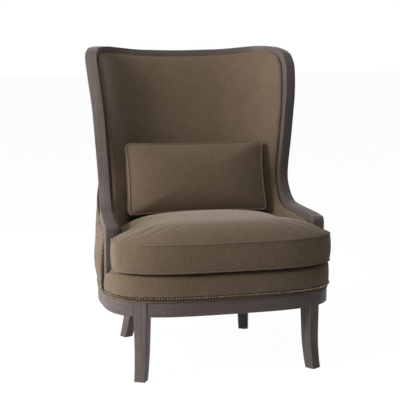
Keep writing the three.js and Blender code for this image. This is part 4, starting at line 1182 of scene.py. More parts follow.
@dataclass
class ShowWood:
    """The wooden rim: arm posts, arms, wings and crest rail."""

    rim: Rim
    finish: bpy.types.Material
    post_outer: float = 0.399
    post_top: float = 0.5155
    knee: float = 0.019
    arm_rise: float = 0.0015
    knot_length: float = 0.08
    fit_length: float = 0.16
    post_middle: float = 0.40

    def build(self) -> None:
        """Makes each piece of the rim and puts it in its node's place."""
        slack = JOINT_GAP / self.knot_length
        parts = {
            "arm": (0.0, self.rim.waist - slack, 80),
            "wing": (self.rim.waist + slack, self.rim.shoulder - slack, 120),
        }
        for side in Side:
            self.post(side)
            for name, (start, end, steps) in parts.items():
                grid = self.rim.sweep(start, end, steps)
                if name == "arm":
                    grid = self.fit_arm(grid)
                wood_piece(f"{name}_{side.word}", side.turned(grid), self.finish)
        start = self.rim.shoulder + slack
        wood_piece("crest_rail", self.rim.sweep(start, self.rim.spans - start, 200), self.finish)

    def fit_arm(self, grid: Array) -> Array:
        """Brings the arm's front end flush with the post: square at its back and as far out.

        Args:
            grid: The arm's surface.

        Returns:
            The fitted surface.
        """
        limit = self.rim.front_y + self.rim.thickness + self.rim.shift + JOINT_GAP
        grid = grid.copy()
        out = self.post_outer - self.rim.knots[0, 0]
        grid[..., 0] += out * (1 - smooth(grid[..., 1], limit, limit + self.fit_length))
        grid[0, :, 1] = limit
        grid[..., 1] = np.maximum(grid[..., 1], limit)
        return grid

    def post(self, side: Side) -> None:
        """The arm post: a side outline with a round knee, carried across its width with eased arrises.

        Args:
            side: The post's side.
        """
        front = self.rim.front_y
        back = front + self.rim.thickness
        turn = np.linspace(math.pi, math.pi / 2, 14)
        knee = np.stack([front + self.knee + self.knee * np.cos(turn),
                         self.post_top - self.knee + self.knee * np.sin(turn)], axis=1)
        rise = np.linspace(0, 1, 6)[1:, None]
        top = knee[-1] + rise * (np.array([back, self.post_top + self.arm_rise]) - knee[-1])
        low = self.rim.base_z + JOINT_GAP
        middle = self.post_middle
        outline = np.vstack([(front, low), (front, middle), knee, top, (back, middle), (back, low)])
        centre = np.array([(front + back) / 2, (low + self.post_top) / 2])
        half = np.array([(back - front) / 2, (self.post_top - low) / 2])
        arris, width = self.rim.arris, self.rim.face
        eased = [(arris - arris * math.cos(turn), arris - arris * math.sin(turn))
                 for turn in np.linspace(0, math.pi / 2, 5)]
        grid = []
        for x, inset in eased + [(width - x, inset) for x, inset in reversed(eased)]:
            shrunk = centre + (outline - centre) * (1 - inset / half)
            grid.append(np.column_stack([np.full(len(outline), self.post_outer - width + x), shrunk]))
        points = np.array(grid) + np.array([0, self.rim.shift, 0])
        wood_piece(f"arm_post_{side.word}", side.turned(points), self.finish, across=True)


@dataclass
class BaseFrame:
    """The curved show rail and the four legs."""

    plan: BasePlan
    finish: bpy.types.Material
    bottom: float = 0.224
    height: float = 0.050
    thickness: float = 0.054
    arris: float = 0.003
    leg_arris: float = 0.075
    front_leg: tuple[float, float] = (0.3120, -0.3125)
    front_turn: float = math.radians(31)
    front_sizes: tuple[float, float] = (0.048, 0.0385)
    kick: float = 0.014
    kick_start: float = 0.130
    rear_leg: tuple[float, float] = (0.2186, 0.2324)
    rear_turn: float = math.radians(-24)
    rear_sizes: tuple[float, float] = (0.045, 0.036)
    rear_sweep: tuple[float, float] = (0.0199, 0.0511)
    sweep_power: float = 1.8
    glide: float = 0.003

    def build(self) -> None:
        """Makes the rails and legs."""
        for side in Side:
            for front in (True, False):
                self.leg(side, front)
        self.rails()

    def square(self, centre: Array, size: Array, turn: float) -> Array:
        """Square rings with rounded arrises, turned in plan.

        Args:
            centre: Ring centres, n by 3.
            size: Side lengths, n.
            turn: Turn in plan.

        Returns:
            n by section points by 3.
        """
        flat = rounded_rectangle(1.0, 1.0, self.leg_arris, 4) - 0.5
        cosine, sine = math.cos(turn), math.sin(turn)
        flat = flat @ np.array([[cosine, sine], [-sine, cosine]])
        rings = centre[:, None, :] + np.zeros((1, len(flat), 1))
        rings[..., :2] += flat[None] * size[:, None, None]
        return rings

    def leg(self, side: Side, front: bool) -> None:
        """One leg: square rings whose size falls to the foot and whose centre kicks or sweeps out.

        Args:
            side: The leg's side.
            front: True for a front leg.
        """
        top = self.bottom + self.height
        z = np.concatenate([np.linspace(self.glide, self.bottom, 50), [top]])
        drop = np.maximum(0, 1 - z / self.bottom)
        if front:
            name, turn = "front_leg", self.front_turn
            size = self.front_sizes[0] + (self.front_sizes[1] - self.front_sizes[0]) * drop
            out = self.kick * np.maximum(0, 1 - z / self.kick_start) ** 2 - size / 2
            x = self.front_leg[0] + math.sin(turn) * out
            y = self.front_leg[1] - math.cos(turn) * out
        else:
            name, turn = "rear_leg", self.rear_turn
            size = self.rear_sizes[0] + (self.rear_sizes[1] - self.rear_sizes[0]) * drop
            sweep = drop**self.sweep_power
            x = self.rear_leg[0] + self.rear_sweep[0] * sweep
            y = self.rear_leg[1] + self.rear_sweep[1] * sweep
        grid = self.square(np.stack([x, y + self.plan.shift, z], axis=1), size, turn)
        wood_piece(f"{name}_{side.word}", side.turned(grid), self.finish)

    def beside(self, leg: tuple[float, float], turn: float, x: float, y: float) -> float:
        """Direction on the plan of a place given from a leg's centre, along the leg's own axes."""
        cosine, sine = math.cos(turn), math.sin(turn)
        return self.plan.direction(leg[0] + (x * cosine - y * sine), leg[1] + (x * sine + y * cosine))

    def rails(self) -> None:
        """The four rails, each carried along the base plan between the faces of two legs."""
        flat = rounded_rectangle(self.thickness, self.height, self.arris, 4)
        section = np.stack([-flat[:, 0], self.bottom + flat[:, 1]], axis=1)
        near, far = (self.beside(self.front_leg, self.front_turn, sign * self.front_sizes[0] / 2, 0.0)
                     for sign in (-1, 1))
        half = self.rear_sizes[0] / 2
        behind, rear = (self.beside(self.rear_leg, self.rear_turn, sign * half, half) for sign in (-1, 1))
        spans = {
            "front_rail": (-math.pi - near, near, 160),
            "side_rail_right": (far, rear, 140),
            "side_rail_left": (math.pi - rear, math.pi - far, 140),
            "back_rail": (behind, math.pi - behind, 120),
        }
        for name, (start, end, steps) in spans.items():
            wood_piece(name, self.plan.carry(section, start, end, steps), self.finish)


@dataclass
class Upholstery:
    """The fixed soft parts: inside barrel, outside panels, deck and deck border."""

    wall: Wall
    finishes: Finishes
    band_proud: float = 0.0065
    band_thickness: float = 0.022
    band_round: float = 0.012
    band_corner: float = 0.075
    band_drop: float = 0.031
    deck_top: float = 0.366
    deck_thickness: float = 0.016
    inside_bottom: float = 0.346
    skin: float = 0.007
    deck_gap: float = 0.0008
    deck_inset: float = 0.0015
    deck_crown: float = 0.0013

    def build(self) -> None:
        """Makes each soft part."""
        self.inside_shell()
        self.outside_panels()
        self.deck_band()
        self.deck_pad()

    def grid(self, edge: Array, bottom: float, rows: int, columns: Array, limits: tuple[float, float]
             ) -> tuple[Array, Array]:
        """Shares and heights of a grid over a range of the wall, trimmed by the rim in front.

        Args:
            edge: The traced line that trims it.
            bottom: Height of the lowest row.
            rows: Number of rows.
            columns: Column shares from 0 to 1.
            limits: The range along the wall.

        Returns:
            Shares and heights, rows by columns.
        """
        level, start, crest = self.wall.rows(edge, bottom, rows)
        low = np.maximum(limits[0], start)
        high = np.minimum(limits[1], 2 - start)
        share = low[:, None] + (high - low)[:, None] * columns[None, :]
        one_side = np.where(share > 1, 2 - share, share)
        z = bottom + level[:, None] * (crest(one_side) - bottom)
        return share, z

    def inside_shell(self) -> None:
        """The padded barrel: a smooth face that rolls in from a welt along the wood."""
        wall = self.wall
        spread = np.linspace(-1, 1, 221)
        columns = (np.sign(spread) * (1 - (1 - np.abs(spread)) ** 1.5) + 1) / 2
        share, z = self.grid(wall.fabric_edge, self.inside_bottom, 130, columns, (0.0, 2.0))
        front = both_sides(wall.inside, share, z)

        def behind(place_share: Array, height: Array) -> Array:
            """The face against the frame."""
            gap = wall.rim.face + JOINT_GAP
            return wall.outer(place_share, height) - wall.normal(place_share, height) * gap

        back = both_sides(behind, share, z)
        piece = closed_skin("barrel_lining", front, back, self.finishes.fabric)
        place(piece, BODY_CHAIR, "fabric", ["inside_shell"])

    def outside_panels(self) -> None:
        """The side panels and the back panel, stuffed a little and seamed at the back corners."""
        wall = self.wall
        columns = np.linspace(0, 1, 90)
        ranges = {
            "outside_panel_right": (0.0, wall.seam - SEAM_GAP),
            "outside_back": (wall.seam + SEAM_GAP, 2 - wall.seam - SEAM_GAP),
            "outside_panel_left": (2 - wall.seam + SEAM_GAP, 2.0),
        }
        for name, limits in ranges.items():
            share, z = self.grid(wall.panel_edge, wall.bottom, 110, columns, limits)
            front, back = wall.covers(share, z, 0.0, -self.skin)
            piece = closed_skin("cover_" + name, front, back, self.finishes.fabric)
            place(piece, BODY_CHAIR, "fabric", [name])

    def band_face(self, share: Array | float) -> Array | float:
        """The border's outset up its face: proud * (0.55 + 0.45 * sin(pi * (0.15 + 0.7 * share)))."""
        return self.band_proud * (0.55 + 0.45 * np.sin(math.pi * (0.15 + 0.7 * share)))

    def deck_band(self) -> None:
        """The border in front of the posts: a padded section carried along the base plan."""
        plan, end, low = self.wall.plan, self.wall.before_posts(), self.wall.bottom
        radius = self.band_round
        edge = self.deck_top - radius
        face = [(self.band_face(share), low + (edge - low) * share) for share in np.linspace(0, 1, 12)]
        last = face[-1][0]
        top = [(last - radius + radius * math.cos(turn), edge + radius * math.sin(turn))
               for turn in np.linspace(0, math.pi / 2, 7)[1:]]
        inner = self.band_proud - self.band_thickness
        section = np.array(face + top + [(inner, self.deck_top), (inner, low)])
        length = arc_lengths(plan.points(np.linspace(-math.pi - end, end, PLAN_STEPS + 1), 0.0, 0.0))
        near = 1 - np.minimum(1, np.minimum(length, length[-1] - length) / self.band_corner)
        drop = self.band_drop * (1 - np.sqrt(1 - near**2)) / (self.deck_top - low)
        lowered = np.repeat(section[None], len(length), axis=0)
        lowered[..., 1] = low + (lowered[..., 1] - low) * (1 - drop[:, None])
        grid = plan.carry(lowered, -math.pi - end, end, PLAN_STEPS)
        piece = solid("deck_border", grid, self.finishes.fabric, FABRIC_CREASE)
        place(piece, BODY_CHAIR, "fabric", ["deck_band"])

    def deck_pad(self) -> None:
        """The deck under the loose cushion: a thin pad that fills the seat opening."""
        wall = self.wall
        inset = self.band_thickness - self.band_proud + self.deck_gap
        front = wall.plan.even(-math.pi / 2, wall.before_posts(), 0.012, -inset, 0.0)
        share = np.linspace(0.0, 1.0, 90)
        side = wall.inside(share, np.full(len(share), self.inside_bottom + LEAST_STEP))
        side[:, 0] -= self.deck_inset
        side[:, 1] -= self.deck_inset * np.minimum(1, 3 * share)
        notch = np.array([[side[0, 0], wall.rim.front_y + wall.plan.shift - 0.001, 0.0]])
        half = np.vstack([front, notch, side[side[:, 1] > notch[0, 1] + LEAST_STEP]])
        outline = np.vstack([half, mirror_x(half[-2:0:-1])])
        centre = np.array([0.0, CUSHION_CENTRE_Y + wall.plan.shift, 0.0])
        grid = crowned_rings(outline, centre, self.deck_top - self.deck_thickness + 0.001,
                             self.deck_top - self.deck_inset, self.deck_crown, 0.0, 0.0)
        piece = solid("deck_platform", grid, self.finishes.fabric, FIRM_CREASE)
        place(piece, BODY_CHAIR, "fabric", ["deck_pad"])


def crowned_rings(outline: Array, centre: Array, low: float, high: float, crown: float, belly: float,
                  bulge: float, power: float = 5.0) -> Array:
    """Rings of a boxed cushion: its outline drawn in towards a centre under a crown.

    The crown's height at a scale s is crown * (1 - s^power), and the boxing bulges as a sine.

    Args:
        outline: The outline at both welts.
        centre: Where the rings draw in to.
        low: Height of the lower welt.
        high: Height of the upper welt.
        crown: Rise of the top.
        belly: Drop of the underside.
        bulge: Bulge of the boxing.
        power: The crown's flatness.

    Returns:
        Rings from the underside's centre to the top's centre.
    """
    scales = 1 - (1 - np.linspace(0.02, 1, 26)) ** 1.6
    arm = outline - centre
    length = np.linalg.norm(arm, axis=1, keepdims=True)
    under = [(s, low - belly * (1 - s**power), 0.0) for s in scales]
    side = [(1.0, low + (high - low) * t, bulge * math.sin(math.pi * t)) for t in np.linspace(0, 1, 10)[1:-1]]
    over = [(s, high + crown * (1 - s**power), 0.0) for s in scales[::-1]]
    rings = []
    for scale, z, swell in under + side + over:
        ring = centre + arm * (scale + swell / length)
        ring[:, 2] = z
        rings.append(ring)
    return np.array(rings)


# Settings of a stiff upholstery cloth that is blown up from inside.
CLOTH = {
    "quality": 6,
    "mass": 0.25,
    "use_pressure": True,
    "tension_stiffness": 18,
    "compression_stiffness": 12,
    "shear_stiffness": 6,
    "bending_stiffness": 0.4,
}


@dataclass
class Inflator:
    """Pads a closed form with a short cloth simulation and keeps its seams in place."""

    voxel: float = 0.006
    pressure: float = 4.0
    frames: int = 20
    cap: float = 0.012

    def run(self, piece: bpy.types.Object, seams: Array, hold: float) -> None:
        """Remeshes the piece, blows it up a little and keeps what the simulation gives.

        Args:
            piece: The closed form, changed in place.
            seams: Points that stay where they are.
            hold: How far from a seam the cloth is held.
        """
        remesh = piece.modifiers.new("Remesh", "REMESH")
        remesh.mode = "VOXEL"
        remesh.voxel_size = self.voxel
        self.apply(piece)
        self.simulate(piece, seams, hold)
        shade(piece.data, FABRIC_CREASE)

    def apply(self, piece: bpy.types.Object) -> None:
        """Turns a piece's modifiers into its mesh.

        Args:
            piece: The piece, changed in place.
        """
        graph = bpy.context.evaluated_depsgraph_get()
        graph.update()
        made = bpy.data.meshes.new_from_object(piece.evaluated_get(graph), depsgraph=graph)
        old = piece.data
        piece.modifiers.clear()
        piece.data = made
        made.name = piece.name
        bpy.data.meshes.remove(old)

    def simulate(self, piece: bpy.types.Object, seams: Array, hold: float) -> None:
        """Runs the cloth and moves each point by what it moved, up to the cap.

        Args:
            piece: The remeshed piece.
            seams: Points that stay where they are.
            hold: How far from a seam the cloth is held.
        """
        start = read_points(piece.data)
        group = piece.vertex_groups.new(name="seam")
        group.add(np.nonzero(distances(start, seams) < hold)[0].tolist(), 1.0, "REPLACE")
        cloth = piece.modifiers.new("Cloth", "CLOTH")
        for name, value in CLOTH.items():
            setattr(cloth.settings, name, value)
        cloth.settings.uniform_pressure_force = self.pressure
        cloth.settings.effector_weights.gravity = 0.0
        cloth.settings.vertex_group_mass = group.name
        scene = bpy.context.scene
        for frame in range(1, self.frames + 1):
            scene.frame_set(frame)
        graph = bpy.context.evaluated_depsgraph_get()
        moved = read_points(piece.evaluated_get(graph).data)
        piece.modifiers.remove(cloth)
        piece.vertex_groups.remove(group)
        scene.frame_set(1)
        step = moved - start
        length = np.linalg.norm(step, axis=1, keepdims=True)
        step *= self.cap * np.tanh(length / self.cap) / np.maximum(length, 1e-9)
        piece.data.vertices.foreach_set("co", (start + step).ravel())
        piece.data.update()


def read_points(mesh: bpy.types.Mesh) -> Array:
    """Reads a mesh's points.

    Args:
        mesh: The mesh.

    Returns:
        The points, n by 3.
    """
    points = np.empty(3 * len(mesh.vertices))
    mesh.vertices.foreach_get("co", points)
    return points.reshape(-1, 3)


def subdivide(piece: bpy.types.Object) -> None:
    """Gives a piece a subdivision surface with equal levels in view and render."""
    modifier = piece.modifiers.new("Subdivision", "SUBSURF")
    modifier.levels = modifier.render_levels = SUBDIVISION_LEVELS


@dataclass
class SeatCushion:
    """The loose T-shaped seat cushion with welts along both edges of its boxing."""

    wall: Wall
    finishes: Finishes
    proud: float = 0.014
    low: float = 0.3773
    high: float = 0.4713
    crown: float = 0.054
    belly: float = 0.008
    clearance: float = 0.008
    ear_half_width: float = 0.3850
    boxing_bulge: float = 0.0045
    ear_back: float = -0.174
    ear_round: float = 0.020
    ear_blend: float = 0.004
    notch_x: float = 0.347
    piping: float = 0.0034
    piping_inset: float = 0.0015

    def outline(self) -> Array:
        """The cushion's outline at its welts, from the middle of the front round to the left.

        Returns:
            Evenly spaced points of the closed outline.
        """
        wall = self.wall
        front_end = wall.plan.direction(wall.plan.half_width, self.ear_back - 2 * self.ear_round)
        front = wall.plan.even(-math.pi / 2, front_end, CORD_SPACING, self.proud, 0.0)
        excess = np.logaddexp(0, (self.ear_half_width - front[:, 0]) / self.ear_blend)
        front[:, 0] = self.ear_half_width - excess * self.ear_blend
        turn = np.linspace(0, math.pi / 2, 9)
        radius = self.ear_round
        corner = np.array([self.ear_half_width - radius, self.ear_back - radius + wall.plan.shift])
        ear = corner + radius * np.stack([np.cos(turn), np.sin(turn)], axis=1)
        share = np.linspace(0, 1, 120)
        faces = [wall.inside(share, np.full(len(share), z)) for z in (self.low, self.high)]
        centre = np.array([0.0, CUSHION_CENTRE_Y + wall.plan.shift])
        reach = [np.linalg.norm(face[:, :2] - centre, axis=1) for face in faces]
        side = np.where((reach[0] < reach[1])[:, None], faces[0], faces[1])
        _, right = line_normals(side)
        side = side - right * self.clearance
        side[:, 0] = np.minimum(side[:, 0], self.notch_x)
        side[-1, 0] = 0.0
        notch = np.array([self.notch_x, self.ear_back + wall.plan.shift])
        half = np.vstack([front[:, :2], ear, notch, side[side[:, 1] > notch[1] + 2 * LEAST_STEP][:, :2]])
        half = np.vstack([half[:-1], [0.0, half[-1, 1]]])
        closed = np.vstack([half, (half * np.array([-1, 1]))[-2:0:-1]])
        return resample(np.column_stack([closed, np.zeros(len(closed))]), CORD_SPACING, closed=True)

    def build(self) -> None:
        """Makes the cushion, pads it and sews its piping on."""
        outline = self.outline()
        centre = np.array([0.0, CUSHION_CENTRE_Y + self.wall.plan.shift, 0.0])
        grid = crowned_rings(outline, centre, self.low, self.high, self.crown, self.belly, self.boxing_bulge)
        piece = solid("seat_cushion_pad", grid, self.finishes.fabric, LOOSE_CREASE)
        welts = [outline + np.array([0, 0, z]) for z in (self.low, self.high)]
        Inflator(cap=0.007).run(piece, np.vstack(welts), CORD_SPACING)
        subdivide(piece)
        place(piece, BODY_CUSHION, "fabric", ["seat_cushion"])
        _, right = line_normals(outline, closed=True)
        for name, line in zip(("low", "high"), welts):
            sewn = line - right * self.piping_inset
            cord = tube(f"seat_piping_{name}", sewn, self.piping, self.finishes.piping, closed=True)
            place(cord, BODY_CUSHION, "fabric")


@dataclass
class LumbarPillow:
    """The loose lumbar pillow: a boxed pillow that leans on the barrel."""

    finishes: Finishes
    width: float = 0.526
    height: float = 0.264
    boxing: float = 0.040
    crown: float = 0.034
    rake: float = math.radians(14.8)
    corner: float = 0.020
    pinch: float = 0.007
    piping: float = 0.0029
    spacing: float = 0.005

    def outline(self) -> Array:
        """A rectangle with round corners, drawn in between them: x - pinch * x' * (1 - y'^2).

        Returns:
            The outline in the pillow's own plane.
        """
        half = np.array([self.width, self.height]) / 2
        flat = rounded_rectangle(self.width, self.height, self.corner, 8) - half
        flat = resample(np.column_stack([flat, np.zeros(len(flat))]), self.spacing, closed=True)
        x, y = flat[:, 0] / half[0], flat[:, 1] / half[1]
        flat[:, 0] -= self.pinch * x * (1 - y * y)
        flat[:, 1] -= self.pinch * y * (1 - x * x)
        return flat

    def stand(self, points: Array, centre: Array) -> Array:
        """Turns points of the pillow's own plane upright, raked back, about its centre.

        Args:
            points: Points with the pillow's front towards +Z.
            centre: Where its centre stands.

        Returns:
            The points in the chair's frame.
        """
        turn = math.pi / 2 - self.rake
        cosine, sine = math.cos(turn), math.sin(turn)
        matrix = np.array([[1, 0, 0], [0, cosine, -sine], [0, sine, cosine]])
        return points @ matrix.T + centre

    def build(self) -> None:
        """Makes the pillow where its solid stands, pads it and sews its piping on."""
        centre = sum(np.array(corner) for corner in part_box("lumbar_pillow")) / 2
        outline = self.outline()
        half = self.boxing / 2
        grid = crowned_rings(outline, np.zeros(3), -half, half, self.crown, self.crown, 0.0, 3.2)
        piece = solid("lumbar_pillow_pad", self.stand(grid, centre), self.finishes.fabric, LOOSE_CREASE)
        welts = [self.stand(outline + np.array([0, 0, z]), centre) for z in (-half, half)]
        Inflator(self.spacing, cap=0.008).run(piece, np.vstack(welts), self.spacing)
        subdivide(piece)
        place(piece, BODY_PILLOW, "fabric", ["lumbar_pillow"])
        for name, line in zip(("back", "front"), welts):
            cord = tube(f"pillow_piping_{name}", line, self.piping, self.finishes.piping, closed=True)
            place(cord, BODY_PILLOW, "fabric")


# A nail head from its skirt to its crown: shares of its radius and of its rise.
NAIL_PROFILE = ((1.0, -0.25), (1.0, 0.12), (0.86, 0.55), (0.5, 0.90), (0.12, 1.0))


@dataclass
class Trim:
    """Welts, gimp, decorative nails and the strips of painted shade behind the nails."""

    wall: Wall
    upholstery: Upholstery
    finishes: Finishes
    nail_radius: float = 0.0036
    nail_rise: float = 0.0034
    nail_pitch: float = 0.0096
    nail_z: float = 0.2888
    # The strips of painted shade behind the nails: their heights, width up the panel fronts and outset.
    painted_shade_low: float = 0.2838
    painted_shade_high: float = 0.2936
    painted_shade_share: float = 0.005
    painted_shade_proud: float = 0.0007
    gimp: float = 0.0046
    gimp_proud: float = 0.0030
    gimp_depth: float = 0.006
    # How far the strips of painted shade reach behind their face.
    painted_shade_backing: float = 0.002
    lining_lift: float = 0.0012
    lining_inset: float = 0.0030
    lining_cord: float = 0.0024
    seam_cord: float = 0.0028
    # Cords round the outside panels, by setback and outset: the first is painted shade in the groove by the
    # wood, the second is piping.
    panel_cords: tuple[tuple[str, float, float], ...] = (
        ("groove_shade_cord", 0.0026, -0.0004),
        ("panel_cord", 0.0078, 0.0006),
    )
    panel_cord_radius: float = 0.0030
    row_height: float = 0.07
    row_end: float = 0.012
    foot_start: float = 0.008
    post_row_inset: float = 0.011
    post_row_end: float = 0.010

    def build(self) -> None:
        """Makes every trim."""
        self.base_welts()
        self.painted_shade_strips()
        self.nails()
        self.edge_welts()

    def base_welts(self) -> None:
        """Gimp between the rail and the fabric, front and back: a round lower edge under a flat band."""
        wall, proud, radius = self.wall, self.gimp_proud, self.gimp / 2
        end, start = wall.before_posts(), wall.plan.direction(wall.plan.half_width, wall.front_y)
        spans = {"base_welt_front": (-math.pi - end, end), "base_welt_back": (start, math.pi - start)}
        low = wall.rail_top + JOINT_GAP
        high = low + wall.welt - SEWN_OUTSET
        section = [(proud / 3, high), (proud / 3, low + self.gimp + SEWN_OUTSET)]
        section += [(proud * math.sin(turn), low + radius + radius * math.cos(turn))
                    for turn in np.linspace(0.0, math.pi, 9)]
        section += [(-self.gimp_depth, low), (-self.gimp_depth, high)]
        for name, (first, last) in spans.items():
            grid = wall.plan.carry(np.array(section), first, last, PLAN_STEPS)
            piece = solid("gimp_" + name, grid, self.finishes.piping, FABRIC_CREASE)
            place(piece, BODY_CHAIR, "welt", [name])

    def edge_welts(self) -> None:
        """A thin cord where the lining meets the wood, and cords round the outside panels: a dark one of
        painted shade in the groove by the wood, and a piping cord.
        """
        wall = self.wall
        share, z = wall.fabric_edge[:, 0], wall.fabric_edge[:, 1] + self.lining_lift
        edge = wall.outer(share, z) - wall.normal(share, z) * (wall.rim.face + self.lining_inset)
        self.cord("lining_cord", whole_line(edge[:-1], CORD_SPACING), self.lining_cord, self.finishes.piping)
        shade_and_piping = self.finishes.braid, self.finishes.piping
        for (name, setback, outset), finish in zip(self.panel_cords, shade_and_piping):
            line = wall.trace(wall.rim.thickness + setback, 0.0)
            edge = wall.outside(line[:, 0], line[:, 1], outset)[:-1]
            self.cord(name, whole_line(edge, CORD_SPACING), self.panel_cord_radius, finish)
        level, _, crest = wall.rows(wall.panel_edge, wall.bottom, 80)
        share = np.full(len(level), wall.seam)
        z = wall.bottom + level * (crest(share) - wall.bottom)
        seam = wall.outside(share, z, SEWN_OUTSET)
        for side in Side:
            self.cord(f"back_seam_cord_{side.word}", side.turned(seam), self.seam_cord, self.finishes.piping)

    def cord(self, name: str, line: Array, radius: float, finish: bpy.types.Material) -> None:
        """A cord sewn to the chair along a line."""
        place(tube(name, line, radius, finish), BODY_CHAIR, "fabric")

    def painted_shade_strips(self) -> None:
        """Strips of painted shade under the nail rows, dark as the shade under the border: round the deck
        border, the panels' foot and up their fronts.
        """
        wall, upholstery = self.wall, self.upholstery
        height = np.linspace(self.painted_shade_low, self.painted_shade_high, 5)
        flat = upholstery.deck_top - upholstery.band_round - wall.bottom
        face = upholstery.band_face((height - wall.bottom) / flat)
        end = wall.before_posts()
        front, back = (
            wall.plan.carry(np.stack([face + outset, height], axis=1), -math.pi - end, end, PLAN_STEPS)
            for outset in (self.painted_shade_proud, -self.painted_shade_backing)
        )
        self.braid("painted_shade_front", front.swapaxes(0, 1), back.swapaxes(0, 1))
        self.panel_braid("painted_shade_back", np.linspace(0.0, 2.0, 500)[None, :], height[:, None])
        column = np.linspace(wall.bottom, wall.panel_edge[0, 1] - LEAST_STEP, 60)[:, None]
        across = np.linspace(0.0, self.painted_shade_share, 5)[None, :]
        for side, start in ((Side.RIGHT, 0.0), (Side.LEFT, 2.0 - self.painted_shade_share)):
            self.panel_braid(f"braid_post_{side.word}", start + across, column)

    def panel_braid(self, name: str, share: Array, z: Array) -> None:
        """A flat strip of painted shade on the outside panels, at a row of wall shares and a column of
        heights.
        """
        share, z = (array.copy() for array in np.broadcast_arrays(share, z))
        self.braid(name, *self.wall.covers(share, z, self.painted_shade_proud, -self.painted_shade_backing))

    def braid(self, name: str, front: Array, back: Array) -> None:
        """A flat strip of painted shade laid on the chair, from its face and its back."""
        place(closed_skin(name, front, back, self.finishes.braid), BODY_CHAIR, "fabric")

    def dome(self) -> Array:
        """One nail head: rings of a flattened dome over a short skirt.

        Returns:
            Rings of points with the head towards +Z.
        """
        turn = np.linspace(0, 2 * math.pi, 10, endpoint=False)
        ring = np.stack([np.cos(turn), np.sin(turn)], axis=1)
        rings = []
        for radius, height in NAIL_PROFILE:
            level = np.full(len(turn), height * self.nail_rise)
            rings.append(np.column_stack([ring * radius * self.nail_radius, level]))
        return np.array(rings)

    def row(self, name: str, points: Array, normals: Array) -> None:
        """A row of nail heads as one piece.

        Args:
            name: The piece's name.
            points: Where the heads sit.
            normals: Their directions.
        """
        rings = self.dome()
        across = unit(np.cross(np.broadcast_to([0.0, 0.0, 1.0], normals.shape), normals))
        upward = np.cross(normals, across)
        patches = Patches(name)
        for point, normal, right, up in zip(points, normals, across, upward):
            grid = point + rings[..., :1] * right + rings[..., 1:2] * up + rings[..., 2:] * normal
            patches.add_grid(grid, wrap=True, cap=True)
        place(patches.build(self.finishes.bronze, FIRM_CREASE), BODY_CHAIR, "spring_steel")

    def nails(self) -> None:
        """Rows along the deck border, along the outside panels' foot and up their front edges."""
        wall = self.wall
        end = wall.before_posts(self.row_end)
        proud = self.upholstery.band_face(self.row_height) + self.painted_shade_proud
        front = wall.plan.even(-math.pi - end, end, self.nail_pitch, proud, self.nail_z)
        self.row("nails_front", front, line_normals(front)[1])
        share = np.linspace(0.0, 1.0, 900)
        foot = wall.outside(share, np.full(len(share), self.nail_z), self.painted_shade_proud)
        foot = foot[foot[:, 1] > wall.front_y + wall.plan.shift + self.foot_start]
        back = whole_line(foot, self.nail_pitch, shared=1)
        self.row("nails_back", back, line_normals(back)[1])
        top = wall.panel_edge[0, 1] - self.post_row_end
        z = np.arange(self.nail_z + self.nail_pitch, top, self.nail_pitch)
        share = np.full(len(z), self.post_row_inset)
        column, normal = wall.outside(share, z, SEWN_OUTSET), wall.normal(share, z)
        for side in Side:
            self.row(f"nails_post_{side.word}", side.turned(column), side.turned(normal))


@dataclass
class HiddenFrame:
    """The carried-over nodes: seat frame, springs, blocks, uprights, glides and dust cover."""

    finishes: Finishes

    def build(self, nodes: dict[str, bpy.types.Object]) -> None:
        """Gives each carried-over node its finish.

        Args:
            nodes: The frame's nodes by name.
        """
        wooden = "seat_frame", "front_corner", "rear_corner", "back_upright", "back_stretcher"
        kinds = (
            (self.finishes.timber, wooden),
            (self.finishes.steel, ("seat_spring", "spring_clip")),
            (self.finishes.nylon, ("front_glide", "rear_glide")),
            (self.finishes.cover, ("dust_cover",)),
        )
        for name, node in nodes.items():
            for material, starts in kinds:
                if name.startswith(starts):
                    self.dress(node, material)

    def dress(self, node: bpy.types.Object, material: bpy.types.Material) -> None:
        """Puts a material on every slot of a node.

        Args:
            node: The carried-over node.
            material: Its finish.
        """
        for slot in node.material_slots:
            slot.material = material
        if not node.material_slots:
            node.data.materials.append(material)
        LOG.info("%s keeps its mesh", node.name)


@dataclass(frozen=True)
class Lamp:
    """A square lamp aimed at the chair's middle.

    Its azimuth is 0 in front and 90 on the right, and its elevation is above the horizon, both in
    degrees. The distance is from the chair's middle.
    """

    name: str
    azimuth: float
    elevation: float
    distance: float
    size: float
    watts: float
    colour: tuple[float, float, float]
    aim: tuple[float, float, float] = (0.0, 0.0, 0.6)

    def build(self) -> None:
        """Makes the lamp and turns it towards the chair."""
        data = bpy.data.lights.new(self.name, "AREA")
        data.size, data.energy, data.color = self.size, self.watts, self.colour
        lamp = bpy.data.objects.new(self.name, data)
        bpy.context.scene.collection.objects.link(lamp)
        away = toward(math.radians(self.azimuth), math.radians(self.elevation))
        lamp.location = Vector(self.aim) + away * self.distance
        lamp.rotation_euler = away.to_track_quat("Z", "Y").to_euler()


def toward(azimuth: float, elevation: float) -> Vector:
    """The direction at an azimuth from the chair's front and an elevation, in radians."""
    flat = math.cos(elevation)
    return Vector((math.sin(azimuth) * flat, -math.cos(azimuth) * flat, math.sin(elevation)))


